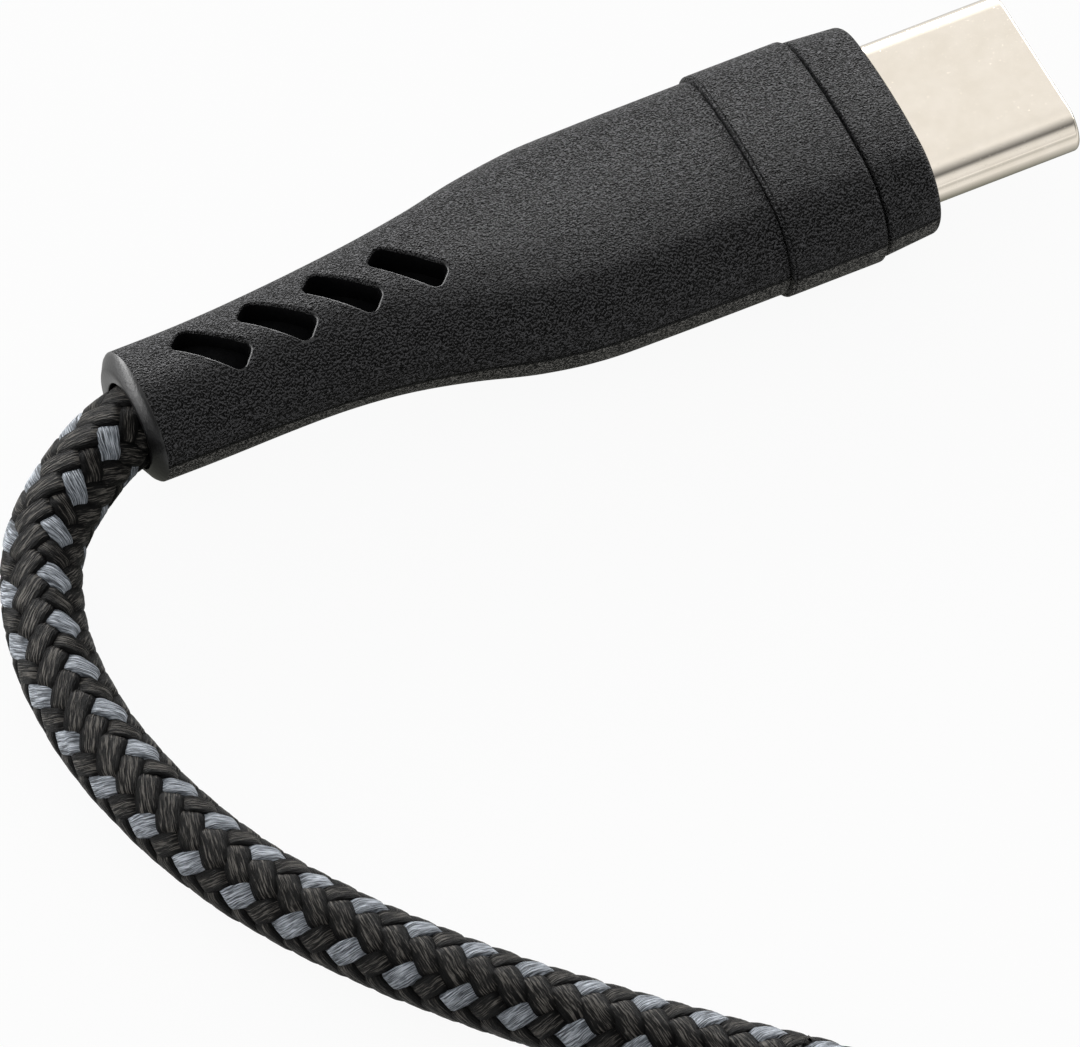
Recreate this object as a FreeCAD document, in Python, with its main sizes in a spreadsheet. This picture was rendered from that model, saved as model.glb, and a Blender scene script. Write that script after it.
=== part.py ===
"""Charging cable with two moulded plugs, a braided cord and the spare cord coiled and tied.

Millimetres, +Z up, the table is at Z = 0. +X runs along the first plug towards its mouth, and the
origin is on the table under the middle of that plug. Both plugs are the same design: each is drawn in
a frame of its own, mouth at X = 0 and cord at -X, and is then placed at its end of the cord.
"""
import FreeCAD, Part
import Sketcher
import math
import os

from FreeCAD import Placement, Rotation, Vector


# Sizes

SIZES = {
    # cord
    "cord_diameter": (3.5, "braided cord"),
    "tie_thickness": (0.6, "hook-and-loop tie under and round the coil"),
    "tie_width": (8.0, "tie, along the cord"),
    "tie_slack": (0.1, "between the coil and the tie"),
    "tie_overlap": (5.5, "closed end of the tie, over its own side"),
    "turn_gap": (0.5, "between neighbouring turns and layers"),
    "coil_radius": (26.0, "centre line of the first turn"),
    # metal shell
    "shell_width": (8.25, "drawn shell, across"),
    "shell_height": (2.4, "drawn shell, thick"),
    "shell_wall": (0.3, "sheet of the drawn shell"),
    "shell_lip": (0.22, "rounding of the shell's front edge"),
    "shell_exposed": (6.83, "shell in front of the nose"),
    "shell_rear": (4.7, "shell inside the mouldings"),
    # moulded grip
    "nose_length": (2.5, "nose collar"),
    "nose_front_side": (0.425, "nose's side wall over the inner mould, at its front"),
    "nose_front_face": (0.975, "nose's flat wall over the inner mould, at its front"),
    "nose_rear_side": (0.6, "nose's side wall at its rear"),
    "nose_rear_face": (1.09, "nose's flat wall at its rear"),
    "nose_round": (0.3, "rounded front edge of the nose"),
    "band_length": (4.3, "middle band"),
    "band_side": (0.75, "band's side wall over the inner mould"),
    "band_face": (1.2, "band's flat wall over the inner mould"),
    "band_round": (0.16, "rounded edges of the band"),
    "boot_length": (27.39, "grip and strain relief"),
    "boot_front_side": (0.53, "grip's side wall over the inner mould, at the band"),
    "boot_front_face": (1.1, "grip's flat wall over the inner mould, at the band"),
    "boot_end_side": (1.0, "strain relief's side wall over the sleeve, at the cord"),
    "boot_end_face": (0.75, "strain relief's flat wall over the sleeve, at the cord"),
    "boot_bevel": (0.35, "bevel round the cord end"),
    "seam_gap": (0.14, "open seam between the mouldings"),
    "fit_gap": (0.02, "between pieces that seat in each other"),
    "recess_gap": (0.35, "mouth of the strain relief, round the cord"),
    "recess_depth": (1.75, "mouth of the strain relief"),
    # slots in the strain relief
    "slot_long": (3.1, "slanted slot, long way"),
    "slot_wide": (1.0, "slanted slot, short way"),
    "slot_slant": (45.0, "slant to the plug's axis, degrees"),
    "slot_pitch": (2.95, "from slot to slot"),
    "slot_first": (3.79, "first slot's middle from the cord end"),
    # inner mould
    "core_side": (0.335, "inner mould's side wall over the shield"),
    "core_face": (0.51, "inner mould's flat wall over the shield"),
    "core_front": (0.8, "nose wall in front of the inner mould"),
    "core_block": (14.0, "block of the inner mould"),
    "sleeve_wall": (0.18, "inner mould's sleeve on the cord"),
    # contact housing
    "housing_setback": (0.9, "housing behind the mouth"),
    "housing_length": (9.3, "contact housing"),
    "housing_lip": (0.35, "wall in front of the contact grooves"),
    "cavity_side": (0.375, "from the shell's inside to the opening for the tongue"),
    "cavity_height": (1.0, "opening for the tongue"),
    "cavity_depth": (5.3, "opening for the tongue"),
    "pin_pitch": (0.5, "contact pitch"),
    "pin_width": (0.25, "contact, across"),
    "pin_thick": (0.15, "contact strip"),
    "pin_tail": (1.0, "solder tail behind the housing"),
    "pin_side_gap": (0.04, "groove beside a contact"),
    "pin_bow": (0.27, "contact point above the middle plane"),
    "pin_tip_back": (0.55, "contact's tip behind the housing's front"),
    "pin_bow_back": (1.6, "contact point behind the housing's front"),
    "pin_rise_back": (3.4, "where the contact starts to bow"),
    "pin_knee": (0.4, "straight root of a contact in front of the cavity's end"),
    "pin_clear": (0.07, "between the contacts and the ground springs"),
    # latch plate
    "latch_thick": (0.2, "latch plate"),
    "latch_gap": (0.045, "between a latch arm and the shell"),
    "latch_arm": (0.3, "width of a latch arm"),
    "latch_hook": (0.38, "how far a hook reaches in"),
    "latch_tip_back": (0.9, "latch tip behind the housing's front"),
    "latch_lead": (0.45, "steps of a hook's outline, along the arm"),
    "latch_cross_back": (0.25, "crossing of the plate behind the cavity"),
    "latch_cross": (1.1, "crossing of the plate, along the plug"),
    "latch_step": (0.85, "plate's rear half, narrower than its arms"),
    # ground springs
    "spring_thick": (0.1, "ground spring"),
    "spring_finger_gap": (0.5, "between the fingers of a ground spring"),
    "spring_finger": (0.6, "length of a finger on the housing's face"),
    "spring_length": (2.0, "ground spring on the housing"),
    # board and shield
    "board_length": (6.0, "circuit board"),
    "board_side": (0.475, "board, from the shield's inside"),
    "board_thick": (0.8, "circuit board"),
    "can_wall": (0.2, "shield sheet"),
    "can_overlap": (0.6, "shield over the shell"),
    "can_length": (7.7, "shield"),
    "can_hole": (3.1, "cable opening of the shield, across"),
    "crimp_length": (2.1, "crimp ring"),
    "crimp_wall": (0.4, "crimp ring"),
    "power_core": (0.66, "insulated power core"),
    "power_spread": (0.9, "power core from the middle"),
    "signal_core": (0.5, "insulated signal core"),
    "signal_spread": (0.8, "outer signal core from the middle one"),
    "core_apart": (0.24, "between the power and the signal cores at the cord's face"),
    "core_lead": (0.5, "straight start of a core"),
    "core_level": (0.1, "core is level behind the board's edge"),
    "core_pad": (1.4, "core on the board"),
    # parts on the board
    "chip_side": (1.2, "square chip"),
    "chip_ahead": (0.3, "chip's middle, ahead of the board's"),
    "passive_length": (0.6, "resistor and capacitor, along the plug"),
    "passive_width": (1.0, "resistor and capacitor, across"),
    "passive_place": (2.4, "resistor and capacitor from the middle"),
    "passive_ahead": (0.4, "their middle, ahead of the board's"),
}

# Where the cord runs from one strain relief's mouth to the other's. A height is a share: 0 lies on
# the table, 1 is at the plug's axis.
LEAD_ROUTE = [
    (-21.45, 0.00, 0.96),
    (-23.70, -1.30, 0.64),
    (-25.75, -3.00, 0.25),
    (-27.30, -5.45, 0.04),
    (-28.40, -9.40, 0.00),
    (-28.25, -15.00, 0.00),
    (-26.30, -21.90, 0.00),
    (-21.65, -29.10, 0.00),
    (-15.20, -36.20, 0.00),
    (-7.35, -43.30, 0.00),
    (-1.20, -52.40, 0.00),
    (1.50, -63.10, 0.10),
    (0.35, -74.00, 0.35),
]
COIL_ENTRY = (-4.70, -84.30)
COIL_HEADING = -116.0
TURNS_IN = 3.0
TURNS = 6.0
TAIL_ROUTE = [
    (-8.20, -91.50, 0.95),
    (-7.80, -97.80, 0.72),
    (-4.40, -103.10, 0.45),
    (1.20, -106.00, 0.18),
    (7.50, -105.90, 0.02),
    (12.90, -102.60, 0.02),
    (16.00, -97.10, 0.32),
]
FAR_PLUG = (16.0, -73.65, 90.0)

# Pins that a charging and data plug carries, counted from one side of a row of 12.
PIN_ROW = 12
UPPER_PINS = (1, 4, 5, 6, 7, 9, 12)
LOWER_PINS = (1, 4, 5, 9, 12)

# Widths and thicknesses of the grip at even steps from the band to the cord end, as shares of
# the way from the cord end's size to the band end's size.
GRIP_WIDTHS = [1.0, 0.998, 0.99, 0.955, 0.765, 0.455, 0.22, 0.085, 0.024, 0.004, 0.0]
GRIP_THICKNESSES = [1.0, 0.93, 0.87, 0.79, 0.67, 0.53, 0.40, 0.28, 0.18, 0.09, 0.0]
CORD_SIDES = 8  # of the tubes that stand for the braided cord
SIDE_ROUND = 0.46  # side radius as a share of the thickness


class Size:
    """A length with its value in millimetres and the same length as an expression of the sheet."""

    def __init__(self, text, value):
        self.text = text
        self.value = value

    def _with(self, other, sign, result):
        text = other.text if isinstance(other, Size) else repr(float(other))
        return Size("(%s %s %s)" % (self.text, sign, text), result)

    def __add__(self, other):
        return self._with(other, "+", self.value + value_of(other))

    def __sub__(self, other):
        return self._with(other, "-", self.value - value_of(other))

    def __mul__(self, other):
        return self._with(other, "*", self.value * value_of(other))

    def __truediv__(self, other):
        return self._with(other, "/", self.value / value_of(other))

    def __neg__(self):
        return Size("(0 - %s)" % self.text, -self.value)


def value_of(length):
    return length.value if isinstance(length, Size) else float(length)


def sized(length):
    return length if isinstance(length, Size) else Size(repr(float(length)), float(length))


class Names:
    """The sheet's sizes by name, as lengths."""


doc = FreeCAD.newDocument("charging_cable")
sheet = doc.addObject("Spreadsheet::Sheet", "Sizes")
S = Names()
for row, (name, (number, note)) in enumerate(SIZES.items(), start=1):
    sheet.set("A%d" % row, name)
    sheet.set("B%d" % row, str(number))
    sheet.set("C%d" % row, note)
    sheet.setAlias("B%d" % row, name)
    setattr(S, name, Size("Sizes." + name, number))
doc.recompute()

ZERO = Size("0.0", 0.0)

# Stations along a plug, from its mouth

nose_front = -S.shell_exposed
nose_rear = nose_front - S.nose_length
band_front = nose_rear - S.seam_gap
band_rear = band_front - S.band_length
boot_front = band_rear - S.seam_gap
boot_rear = boot_front - S.boot_length
core_front = nose_front - S.core_front
core_rear = core_front - S.core_block
shell_rear = nose_front - S.shell_rear
housing_front = -S.housing_setback
housing_rear = housing_front - S.housing_length
cavity_rear = housing_front - S.cavity_depth
board_rear = housing_rear - S.board_length
can_front = shell_rear + S.can_overlap
can_rear = can_front - S.can_length
crimp_rear = can_rear - S.crimp_length
cord_face = can_rear - S.fit_gap
recess_front = boot_rear + S.recess_depth
sleeve_rear = recess_front + S.fit_gap

# Sizes that follow from the shell outwards

mouth_width = S.shell_width - S.shell_wall * 2
mouth_height = S.shell_height - S.shell_wall * 2
can_width = S.shell_width + S.fit_gap * 2 + S.can_wall * 2
can_height = S.shell_height + S.fit_gap * 2 + S.can_wall * 2
core_width = can_width + S.fit_gap * 2 + S.core_side * 2
core_thick = can_height + S.fit_gap * 2 + S.core_face * 2
sleeve_diameter = S.cord_diameter + S.fit_gap * 2 + S.sleeve_wall * 2
nose_front_width = core_width + S.nose_front_side * 2
nose_front_thick = core_thick + S.nose_front_face * 2
nose_rear_width = core_width + S.nose_rear_side * 2
nose_rear_thick = core_thick + S.nose_rear_face * 2
band_width = core_width + S.band_side * 2
band_thick = core_thick + S.band_face * 2
boot_front_width = core_width + S.boot_front_side * 2
boot_front_thick = core_thick + S.boot_front_face * 2
boot_end_width = sleeve_diameter + S.boot_end_side * 2
boot_end_thick = sleeve_diameter + S.boot_end_face * 2
recess_diameter = S.cord_diameter + S.recess_gap * 2
cavity_width = mouth_width - S.cavity_side * 2
latch_outer = mouth_width / 2 - S.latch_gap
spring_width = S.shell_width - S.shell_height
spring_under = mouth_height / 2 - S.fit_gap * 2 - S.spring_thick
board_width = can_width - S.can_wall * 2 - S.board_side * 2
axis_height = band_thick / 2
plug_middle = boot_rear / -2


# Drawing helpers


def bind(thing, path, length):
    thing.setExpression(path, sized(length).text)


def add_body(label):
    body = doc.addObject("PartDesign::Body", label)
    body.Label = label
    body.AllowCompound = True
    return body


def plane_of(body, role):
    return next(f for f in body.Origin.OriginFeatures if f.Role == role)


def add_sketch(body, name, role, along=ZERO):
    """A sketch on one of the body's own planes, moved along that plane's normal."""
    sketch = body.newObject("Sketcher::SketchObject", body.Label + "_" + name)
    sketch.AttachmentSupport = (plane_of(body, role), "")
    sketch.MapMode = "FlatFace"
    bind(sketch, "AttachmentOffset.Base.z", along)
    return sketch


def hold(sketch, kind, element, point, length):
    """Hold a point of the sketch at a signed distance from the origin."""
    number = value_of(length)
    if abs(number) < 1e-9:
        axis = -2 if kind == "DistanceX" else -1
        sketch.addConstraint(Sketcher.Constraint("PointOnObject", element, point, axis))
        return
    if number > 0:
        ends = (-1, 1, element, point)
    else:
        ends = (element, point, -1, 1)
        length = -length
    index = sketch.addConstraint(Sketcher.Constraint(kind, *ends, abs(number)))
    bind(sketch, "Constraints[%d]" % index, length)


def draw_polygon(sketch, corners):
    """A closed outline whose corners are all held at sheet sizes."""
    corners = [(sized(u), sized(v)) for u, v in corners]
    points = [Vector(u.value, v.value, 0) for u, v in corners]
    first = sketch.GeometryCount
    count = len(points)
    for i, point in enumerate(points):
        sketch.addGeometry(Part.LineSegment(point, points[(i + 1) % count]), False)
    for i in range(count):
        after = first + (i + 1) % count
        sketch.addConstraint(Sketcher.Constraint("Coincident", first + i, 2, after, 1))
    for i, (u, v) in enumerate(corners):
        hold(sketch, "DistanceX", first + i, 1, u)
        hold(sketch, "DistanceY", first + i, 1, v)


def draw_box(sketch, u0, u1, v0, v1):
    draw_polygon(sketch, [(u0, v0), (u1, v0), (u1, v1), (u0, v1)])


def draw_circle(sketch, diameter, u=ZERO, v=ZERO):
    centre = Vector(value_of(u), value_of(v), 0)
    index = sketch.addGeometry(Part.Circle(centre, Vector(0, 0, 1), value_of(diameter) / 2), False)
    hold(sketch, "DistanceX", index, 3, u)
    hold(sketch, "DistanceY", index, 3, v)
    size = sketch.addConstraint(Sketcher.Constraint("Diameter", index, value_of(diameter)))
    bind(sketch, "Constraints[%d]" % size, diameter)


def draw_arc(sketch, centre, radius, start, end):
    circle = Part.Circle(Vector(centre[0], centre[1], 0), Vector(0, 0, 1), radius)
    return sketch.addGeometry(Part.ArcOfCircle(circle, math.radians(start), math.radians(end)), False)


def draw_stadium(sketch, width, height):
    """Two straight sides joined by half rounds."""
    half = width.value / 2 - height.value / 2
    radius = height.value / 2
    right = draw_arc(sketch, (half, 0), radius, -90, 90)
    left = draw_arc(sketch, (-half, 0), radius, 90, 270)
    upper = sketch.addGeometry(
        Part.LineSegment(Vector(half, radius, 0), Vector(-half, radius, 0)), False
    )
    lower = sketch.addGeometry(
        Part.LineSegment(Vector(-half, -radius, 0), Vector(half, -radius, 0)), False
    )
    for first, first_end, second, second_end in (
        (right, 2, upper, 1),
        (upper, 2, left, 1),
        (left, 2, lower, 1),
        (lower, 2, right, 1),
    ):
        sketch.addConstraint(
            Sketcher.Constraint("Tangent", first, first_end, second, second_end)
        )
    hold(sketch, "DistanceX", right, 3, (width - height) / 2)
    hold(sketch, "DistanceY", right, 3, ZERO)
    hold(sketch, "DistanceY", left, 3, ZERO)
    hold(sketch, "DistanceX", left, 3, (height - width) / 2)
    size = sketch.addConstraint(Sketcher.Constraint("Radius", right, radius))
    bind(sketch, "Constraints[%d]" % size, height / 2)


def draw_oval(sketch, width, thickness):
    """Four tangent arcs: two flat crowns and two tight sides."""
    side = thickness * SIDE_ROUND
    reach = width / 2 - side
    crown = (reach * reach + thickness * thickness / 4 - side * side) / (thickness - side * 2)
    a, r, big = reach.value, side.value, crown.value
    low = thickness.value / 2 - big
    turn = math.degrees(math.atan2(-low, a))
    right = draw_arc(sketch, (a, 0), r, -turn, turn)
    left = draw_arc(sketch, (-a, 0), r, 180 - turn, 180 + turn)
    top = draw_arc(sketch, (0, low), big, turn, 180 - turn)
    bottom = draw_arc(sketch, (0, -low), big, 180 + turn, 360 - turn)
    for first, second in ((right, top), (top, left), (left, bottom), (bottom, right)):
        sketch.addConstraint(Sketcher.Constraint("Tangent", first, 2, second, 1))
    hold(sketch, "DistanceX", right, 3, reach)
    hold(sketch, "DistanceY", right, 3, ZERO)
    hold(sketch, "DistanceX", left, 3, -reach)
    hold(sketch, "DistanceY", left, 3, ZERO)
    sketch.addConstraint(Sketcher.Constraint("Equal", right, left))
    sketch.addConstraint(Sketcher.Constraint("Equal", top, bottom))
    small = sketch.addConstraint(Sketcher.Constraint("Radius", right, r))
    bind(sketch, "Constraints[%d]" % small, side)
    large = sketch.addConstraint(Sketcher.Constraint("Radius", top, big))
    bind(sketch, "Constraints[%d]" % large, crown)


def draw_rounded_box(sketch, long_way, short_way, corner):
    """A rectangle round the origin with rounded corners."""
    u = long_way.value / 2
    v = short_way.value / 2
    r = corner.value
    arcs = [
        draw_arc(sketch, (u - r, v - r), r, 0, 90),
        draw_arc(sketch, (r - u, v - r), r, 90, 180),
        draw_arc(sketch, (r - u, r - v), r, 180, 270),
        draw_arc(sketch, (u - r, r - v), r, 270, 360),
    ]
    corners = [
        (Vector(u - r, v, 0), Vector(r - u, v, 0)),
        (Vector(-u, v - r, 0), Vector(-u, r - v, 0)),
        (Vector(r - u, -v, 0), Vector(u - r, -v, 0)),
        (Vector(u, r - v, 0), Vector(u, v - r, 0)),
    ]
    for i, (start, end) in enumerate(corners):
        line = sketch.addGeometry(Part.LineSegment(start, end), False)
        after = arcs[(i + 1) % 4]
        sketch.addConstraint(Sketcher.Constraint("Tangent", arcs[i], 2, line, 1))
        sketch.addConstraint(Sketcher.Constraint("Tangent", line, 2, after, 1))
    for other in arcs[1:]:
        sketch.addConstraint(Sketcher.Constraint("Equal", arcs[0], other))
    size = sketch.addConstraint(Sketcher.Constraint("Radius", arcs[0], r))
    bind(sketch, "Constraints[%d]" % size, corner)
    hold(sketch, "DistanceX", arcs[0], 3, long_way / 2 - corner)
    hold(sketch, "DistanceY", arcs[0], 3, short_way / 2 - corner)
    hold(sketch, "DistanceX", arcs[2], 3, corner - long_way / 2)
    hold(sketch, "DistanceY", arcs[2], 3, corner - short_way / 2)


def add_pad(body, sketch, length, back=False, both=False):
    pad = body.newObject("PartDesign::Pad", sketch.Label + "_pad")
    pad.Profile = sketch
    bind(pad, "Length", length)
    pad.Reversed = back
    if both:
        pad.SideType = "Symmetric"
    body.Tip = pad
    doc.recompute()
    return pad


def add_pocket(body, sketch, length=None, back=False, both=False):
    """Cut the outline out of the body, and check that the cut takes something away."""
    before = body.Shape.Volume
    pocket = body.newObject("PartDesign::Pocket", sketch.Label + "_cut")
    pocket.Profile = sketch
    if length is None:
        pocket.Type = "ThroughAll"
    else:
        bind(pocket, "Length", length)
    pocket.Reversed = back
    if both:
        pocket.SideType = "Symmetric"
    body.Tip = pocket
    doc.recompute()
    if not body.Shape.Volume < before - 1e-6:
        raise RuntimeError("nothing was cut by " + pocket.Label)
    return pocket


def add_loft(body, sections, name, ruled=False):
    loft = body.newObject("PartDesign::AdditiveLoft", body.Label + "_" + name)
    loft.Profile = sections[0]
    loft.Sections = sections[1:]
    loft.Ruled = ruled
    body.Tip = loft
    doc.recompute()
    return loft


# One plug, piece by piece, mouth at X = 0


def make_shell(end):
    body = add_body(end + "_plug_shell")
    outer = add_sketch(body, "outline", "YZ_Plane")
    draw_stadium(outer, S.shell_width, S.shell_height)
    add_pad(body, outer, -shell_rear, back=True)
    inner = add_sketch(body, "bore", "YZ_Plane")
    draw_stadium(inner, S.shell_width - S.shell_wall * 2, S.shell_height - S.shell_wall * 2)
    add_pocket(body, inner, -shell_rear, back=False)
    inner_half = S.shell_width.value / 2 - S.shell_wall.value * 1.5
    outer_reach = S.shell_height.value / 2 - S.shell_wall.value / 2
    names = []
    for i, edge in enumerate(body.Tip.Shape.Edges, start=1):
        box = edge.BoundBox
        if abs(box.XMin) > 1e-4 or abs(box.XMax) > 1e-4:
            continue
        middle = edge.valueAt((edge.FirstParameter + edge.LastParameter) / 2)
        if abs(middle.z) > outer_reach or abs(middle.y) > inner_half + S.shell_wall.value:
            names.append("Edge%d" % i)
    bored = body.Tip
    lip = body.newObject("PartDesign::Fillet", body.Label + "_lip")
    lip.Base = (bored, names)
    bind(lip, "Radius", S.shell_lip)
    body.Tip = lip
    doc.recompute()
    return body


def pin_places(pins):
    """Sideways places of the named pins of a row of 12."""
    return [S.pin_pitch * ((PIN_ROW + 1) / 2 - pin) for pin in pins]


def make_housing(end):
    """Moulded carrier of the contacts, open to the front for the socket's tongue."""
    body = add_body(end + "_contact_housing")
    inner_width = mouth_width - S.fit_gap * 2
    inner_height = mouth_height - S.fit_gap * 2
    outline = add_sketch(body, "outline", "YZ_Plane", housing_front)
    draw_stadium(outline, inner_width, inner_height)
    add_pad(body, outline, S.housing_length, back=True)

    mouth = add_sketch(body, "mouth", "YZ_Plane", housing_front)
    draw_box(
        mouth,
        cavity_width / -2,
        cavity_width / 2,
        S.cavity_height / -2,
        S.cavity_height / 2,
    )
    add_pocket(body, mouth, S.cavity_depth)

    groove_floor = S.latch_thick * 1.5 + S.fit_gap
    half = S.pin_width / 2 + S.pin_side_gap
    for side, pins in ((1, UPPER_PINS), (-1, LOWER_PINS)):
        name = "upper_grooves" if side > 0 else "lower_grooves"
        grooves = add_sketch(body, name, "XY_Plane", groove_floor * side)
        for place in pin_places(pins):
            draw_box(
                grooves,
                housing_rear - S.pin_pitch,
                housing_front - S.housing_lip,
                place - half,
                place + half,
            )
        add_pocket(body, grooves, S.shell_height, back=side > 0)

    # the plate and its two arms lie in one level slot
    plate = add_sketch(body, "plate_slot", "XY_Plane")
    arm = latch_outer - S.latch_arm - S.fit_gap * 2
    wide = S.shell_width / 2
    rear_half = latch_outer - S.latch_arm - S.latch_step
    before = housing_front + S.housing_lip
    cross_front = cavity_rear - S.latch_cross_back + S.fit_gap * 2
    cross_rear = cavity_rear - S.latch_cross_back - S.latch_cross - S.fit_gap * 2
    behind = housing_rear - S.housing_lip
    draw_polygon(
        plate,
        [
            (before, arm),
            (cross_front, arm),
            (cross_front, -arm),
            (before, -arm),
            (before, -wide),
            (cross_rear, -wide),
            (cross_rear, -rear_half),
            (behind, -rear_half),
            (behind, rear_half),
            (cross_rear, rear_half),
            (cross_rear, wide),
            (before, wide),
        ],
    )
    add_pocket(body, plate, S.latch_thick + S.fit_gap * 2, both=True)

    # shallow seats for the ground springs, over and under the mouth
    seat_reach = spring_under - S.fit_gap
    for side in (1, -1):
        name = "upper_seat" if side > 0 else "lower_seat"
        seat = add_sketch(body, name, "XY_Plane", seat_reach * side)
        draw_box(
            seat,
            housing_front - S.spring_length - S.fit_gap,
            housing_front + S.housing_lip,
            spring_width / -2 - S.fit_gap,
            spring_width / 2 + S.fit_gap,
        )
        add_pocket(body, seat, S.shell_height, back=side > 0)
    return body


def contact_outline(side):
    """Side view of a bent contact strip: solder tail, straight root, bow and lifted tip."""
    thick = S.pin_thick
    root = S.board_thick / 2
    tip = housing_front - S.pin_tip_back
    bow = housing_front - S.pin_bow_back
    rise = housing_front - S.pin_rise_back
    knee = cavity_rear + S.pin_knee
    tip_height = spring_under - S.pin_clear - thick
    rise_height = (root + tip_height) / 2
    lower = [
        (housing_rear - S.pin_tail, root),
        (knee, root),
        (rise, rise_height),
        (bow, S.pin_bow),
        (tip, tip_height),
    ]
    upper = [
        (tip, tip_height + thick),
        (bow, S.pin_bow + thick),
        (rise, rise_height + thick),
        (knee, root + thick),
        (housing_rear - S.pin_tail, root + thick),
    ]
    return [(x, z * side) for x, z in lower + upper]


def make_contacts(end, name, pins, side):
    body = add_body(end + "_" + name)
    for pin, place in zip(pins, pin_places(pins)):
        strip = add_sketch(body, "pin%d" % pin, "XZ_Plane", -place)
        draw_polygon(strip, contact_outline(side))
        add_pad(body, strip, S.pin_width, both=True)
    return body


def make_latch_plate(end):
    """Stamped plate between the rows, with an arm and a hook on each side."""
    body = add_body(end + "_latch_plate")
    outer = latch_outer
    inner = outer - S.latch_arm
    hook = inner - S.latch_hook
    rear_half = inner - S.latch_step - S.fit_gap * 2
    tip = housing_front - S.latch_tip_back
    cross = cavity_rear - S.latch_cross_back
    cross_end = cross - S.latch_cross
    half_outline = [
        (tip, inner),
        (tip - S.latch_lead, inner),
        (tip - S.latch_lead * 2, hook),
        (tip - S.latch_lead * 3, hook),
        (tip - S.latch_lead * 4.5, inner),
        (cross, inner),
    ]
    outside = [(cross_end, outer), (tip, outer)]
    right = half_outline
    left = [(x, -y) for x, y in half_outline[::-1]]
    outline = add_sketch(body, "outline", "XY_Plane")
    draw_polygon(
        outline,
        right
        + left
        + [(x, -y) for x, y in outside[::-1]]
        + [
            (cross_end, -rear_half),
            (housing_rear + S.fit_gap, -rear_half),
            (housing_rear + S.fit_gap, rear_half),
            (cross_end, rear_half),
        ]
        + outside,
    )
    add_pad(body, outline, S.latch_thick, both=True)
    return body


def make_ground_spring(end, name, side):
    """Thin strip on the housing with four fingers bent down over the mouth's edge."""
    body = add_body(end + "_" + name)
    top = spring_under + S.spring_thick
    back = housing_front - S.spring_length
    face = housing_front + S.fit_gap
    front = face + S.spring_thick
    low = S.cavity_height / 2 + S.fit_gap
    profile = add_sketch(body, "profile", "XZ_Plane")
    corners = [
        (back, top),
        (front, top),
        (front, low),
        (face, low),
        (face, top - S.spring_thick),
        (back, top - S.spring_thick),
    ]
    draw_polygon(profile, [(x, z * side) for x, z in corners])
    add_pad(body, profile, spring_width, both=True)
    gaps = add_sketch(body, "finger_gaps", "XY_Plane")
    pitch = spring_width / 4
    for place in (-1, 0, 1):
        draw_box(
            gaps,
            housing_front - S.spring_finger,
            housing_front + S.spring_finger,
            pitch * place - S.spring_finger_gap / 2,
            pitch * place + S.spring_finger_gap / 2,
        )
    add_pocket(body, gaps, both=True)
    return body


def make_board(end):
    body = add_body(end + "_paddle_board")
    outline = add_sketch(body, "outline", "XY_Plane")
    draw_box(outline, board_rear, housing_rear, board_width / -2, board_width / 2)
    add_pad(body, outline, S.board_thick, both=True)
    return body


def make_board_parts(end):
    """A resistor, a capacitor and a small chip soldered to the board's upper face."""
    body = add_body(end + "_board_parts")
    outline = add_sketch(body, "outlines", "XY_Plane", S.board_thick / 2)
    middle = (board_rear + housing_rear) / 2
    chip = middle + S.chip_ahead
    half = S.chip_side / 2
    draw_box(outline, chip - half, chip + half, -half, half)
    passive = middle + S.passive_ahead
    along = S.passive_length / 2
    across = S.passive_width / 2
    for place in (-S.passive_place, S.passive_place):
        draw_box(outline, passive - along, passive + along, place - across, place + across)
    add_pad(body, outline, S.can_wall * 2)
    return body


def make_can_half(end, name, side):
    """Half of the stamped shield that closes over the board and grips the shell."""
    body = add_body(end + "_" + name)
    inner_width = S.shell_width + S.fit_gap * 2
    inner_height = S.shell_height + S.fit_gap * 2
    outer = add_sketch(body, "outline", "YZ_Plane", can_front)
    draw_stadium(outer, inner_width + S.can_wall * 2, inner_height + S.can_wall * 2)
    add_pad(body, outer, S.can_length, back=True)
    inner = add_sketch(body, "hollow", "YZ_Plane", can_front)
    draw_stadium(inner, inner_width, inner_height)
    add_pocket(body, inner, S.can_length - S.can_wall)
    hole = add_sketch(body, "cable_hole", "YZ_Plane", can_front)
    draw_stadium(hole, S.can_hole, S.shell_height - S.can_wall)
    add_pocket(body, hole)
    other = add_sketch(body, "other_half", "YZ_Plane", can_front)
    far = S.shell_height * side
    near = S.fit_gap / -2 * side
    draw_box(other, -S.shell_width, S.shell_width, -far, near * -1)
    add_pocket(body, other)
    return body


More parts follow.
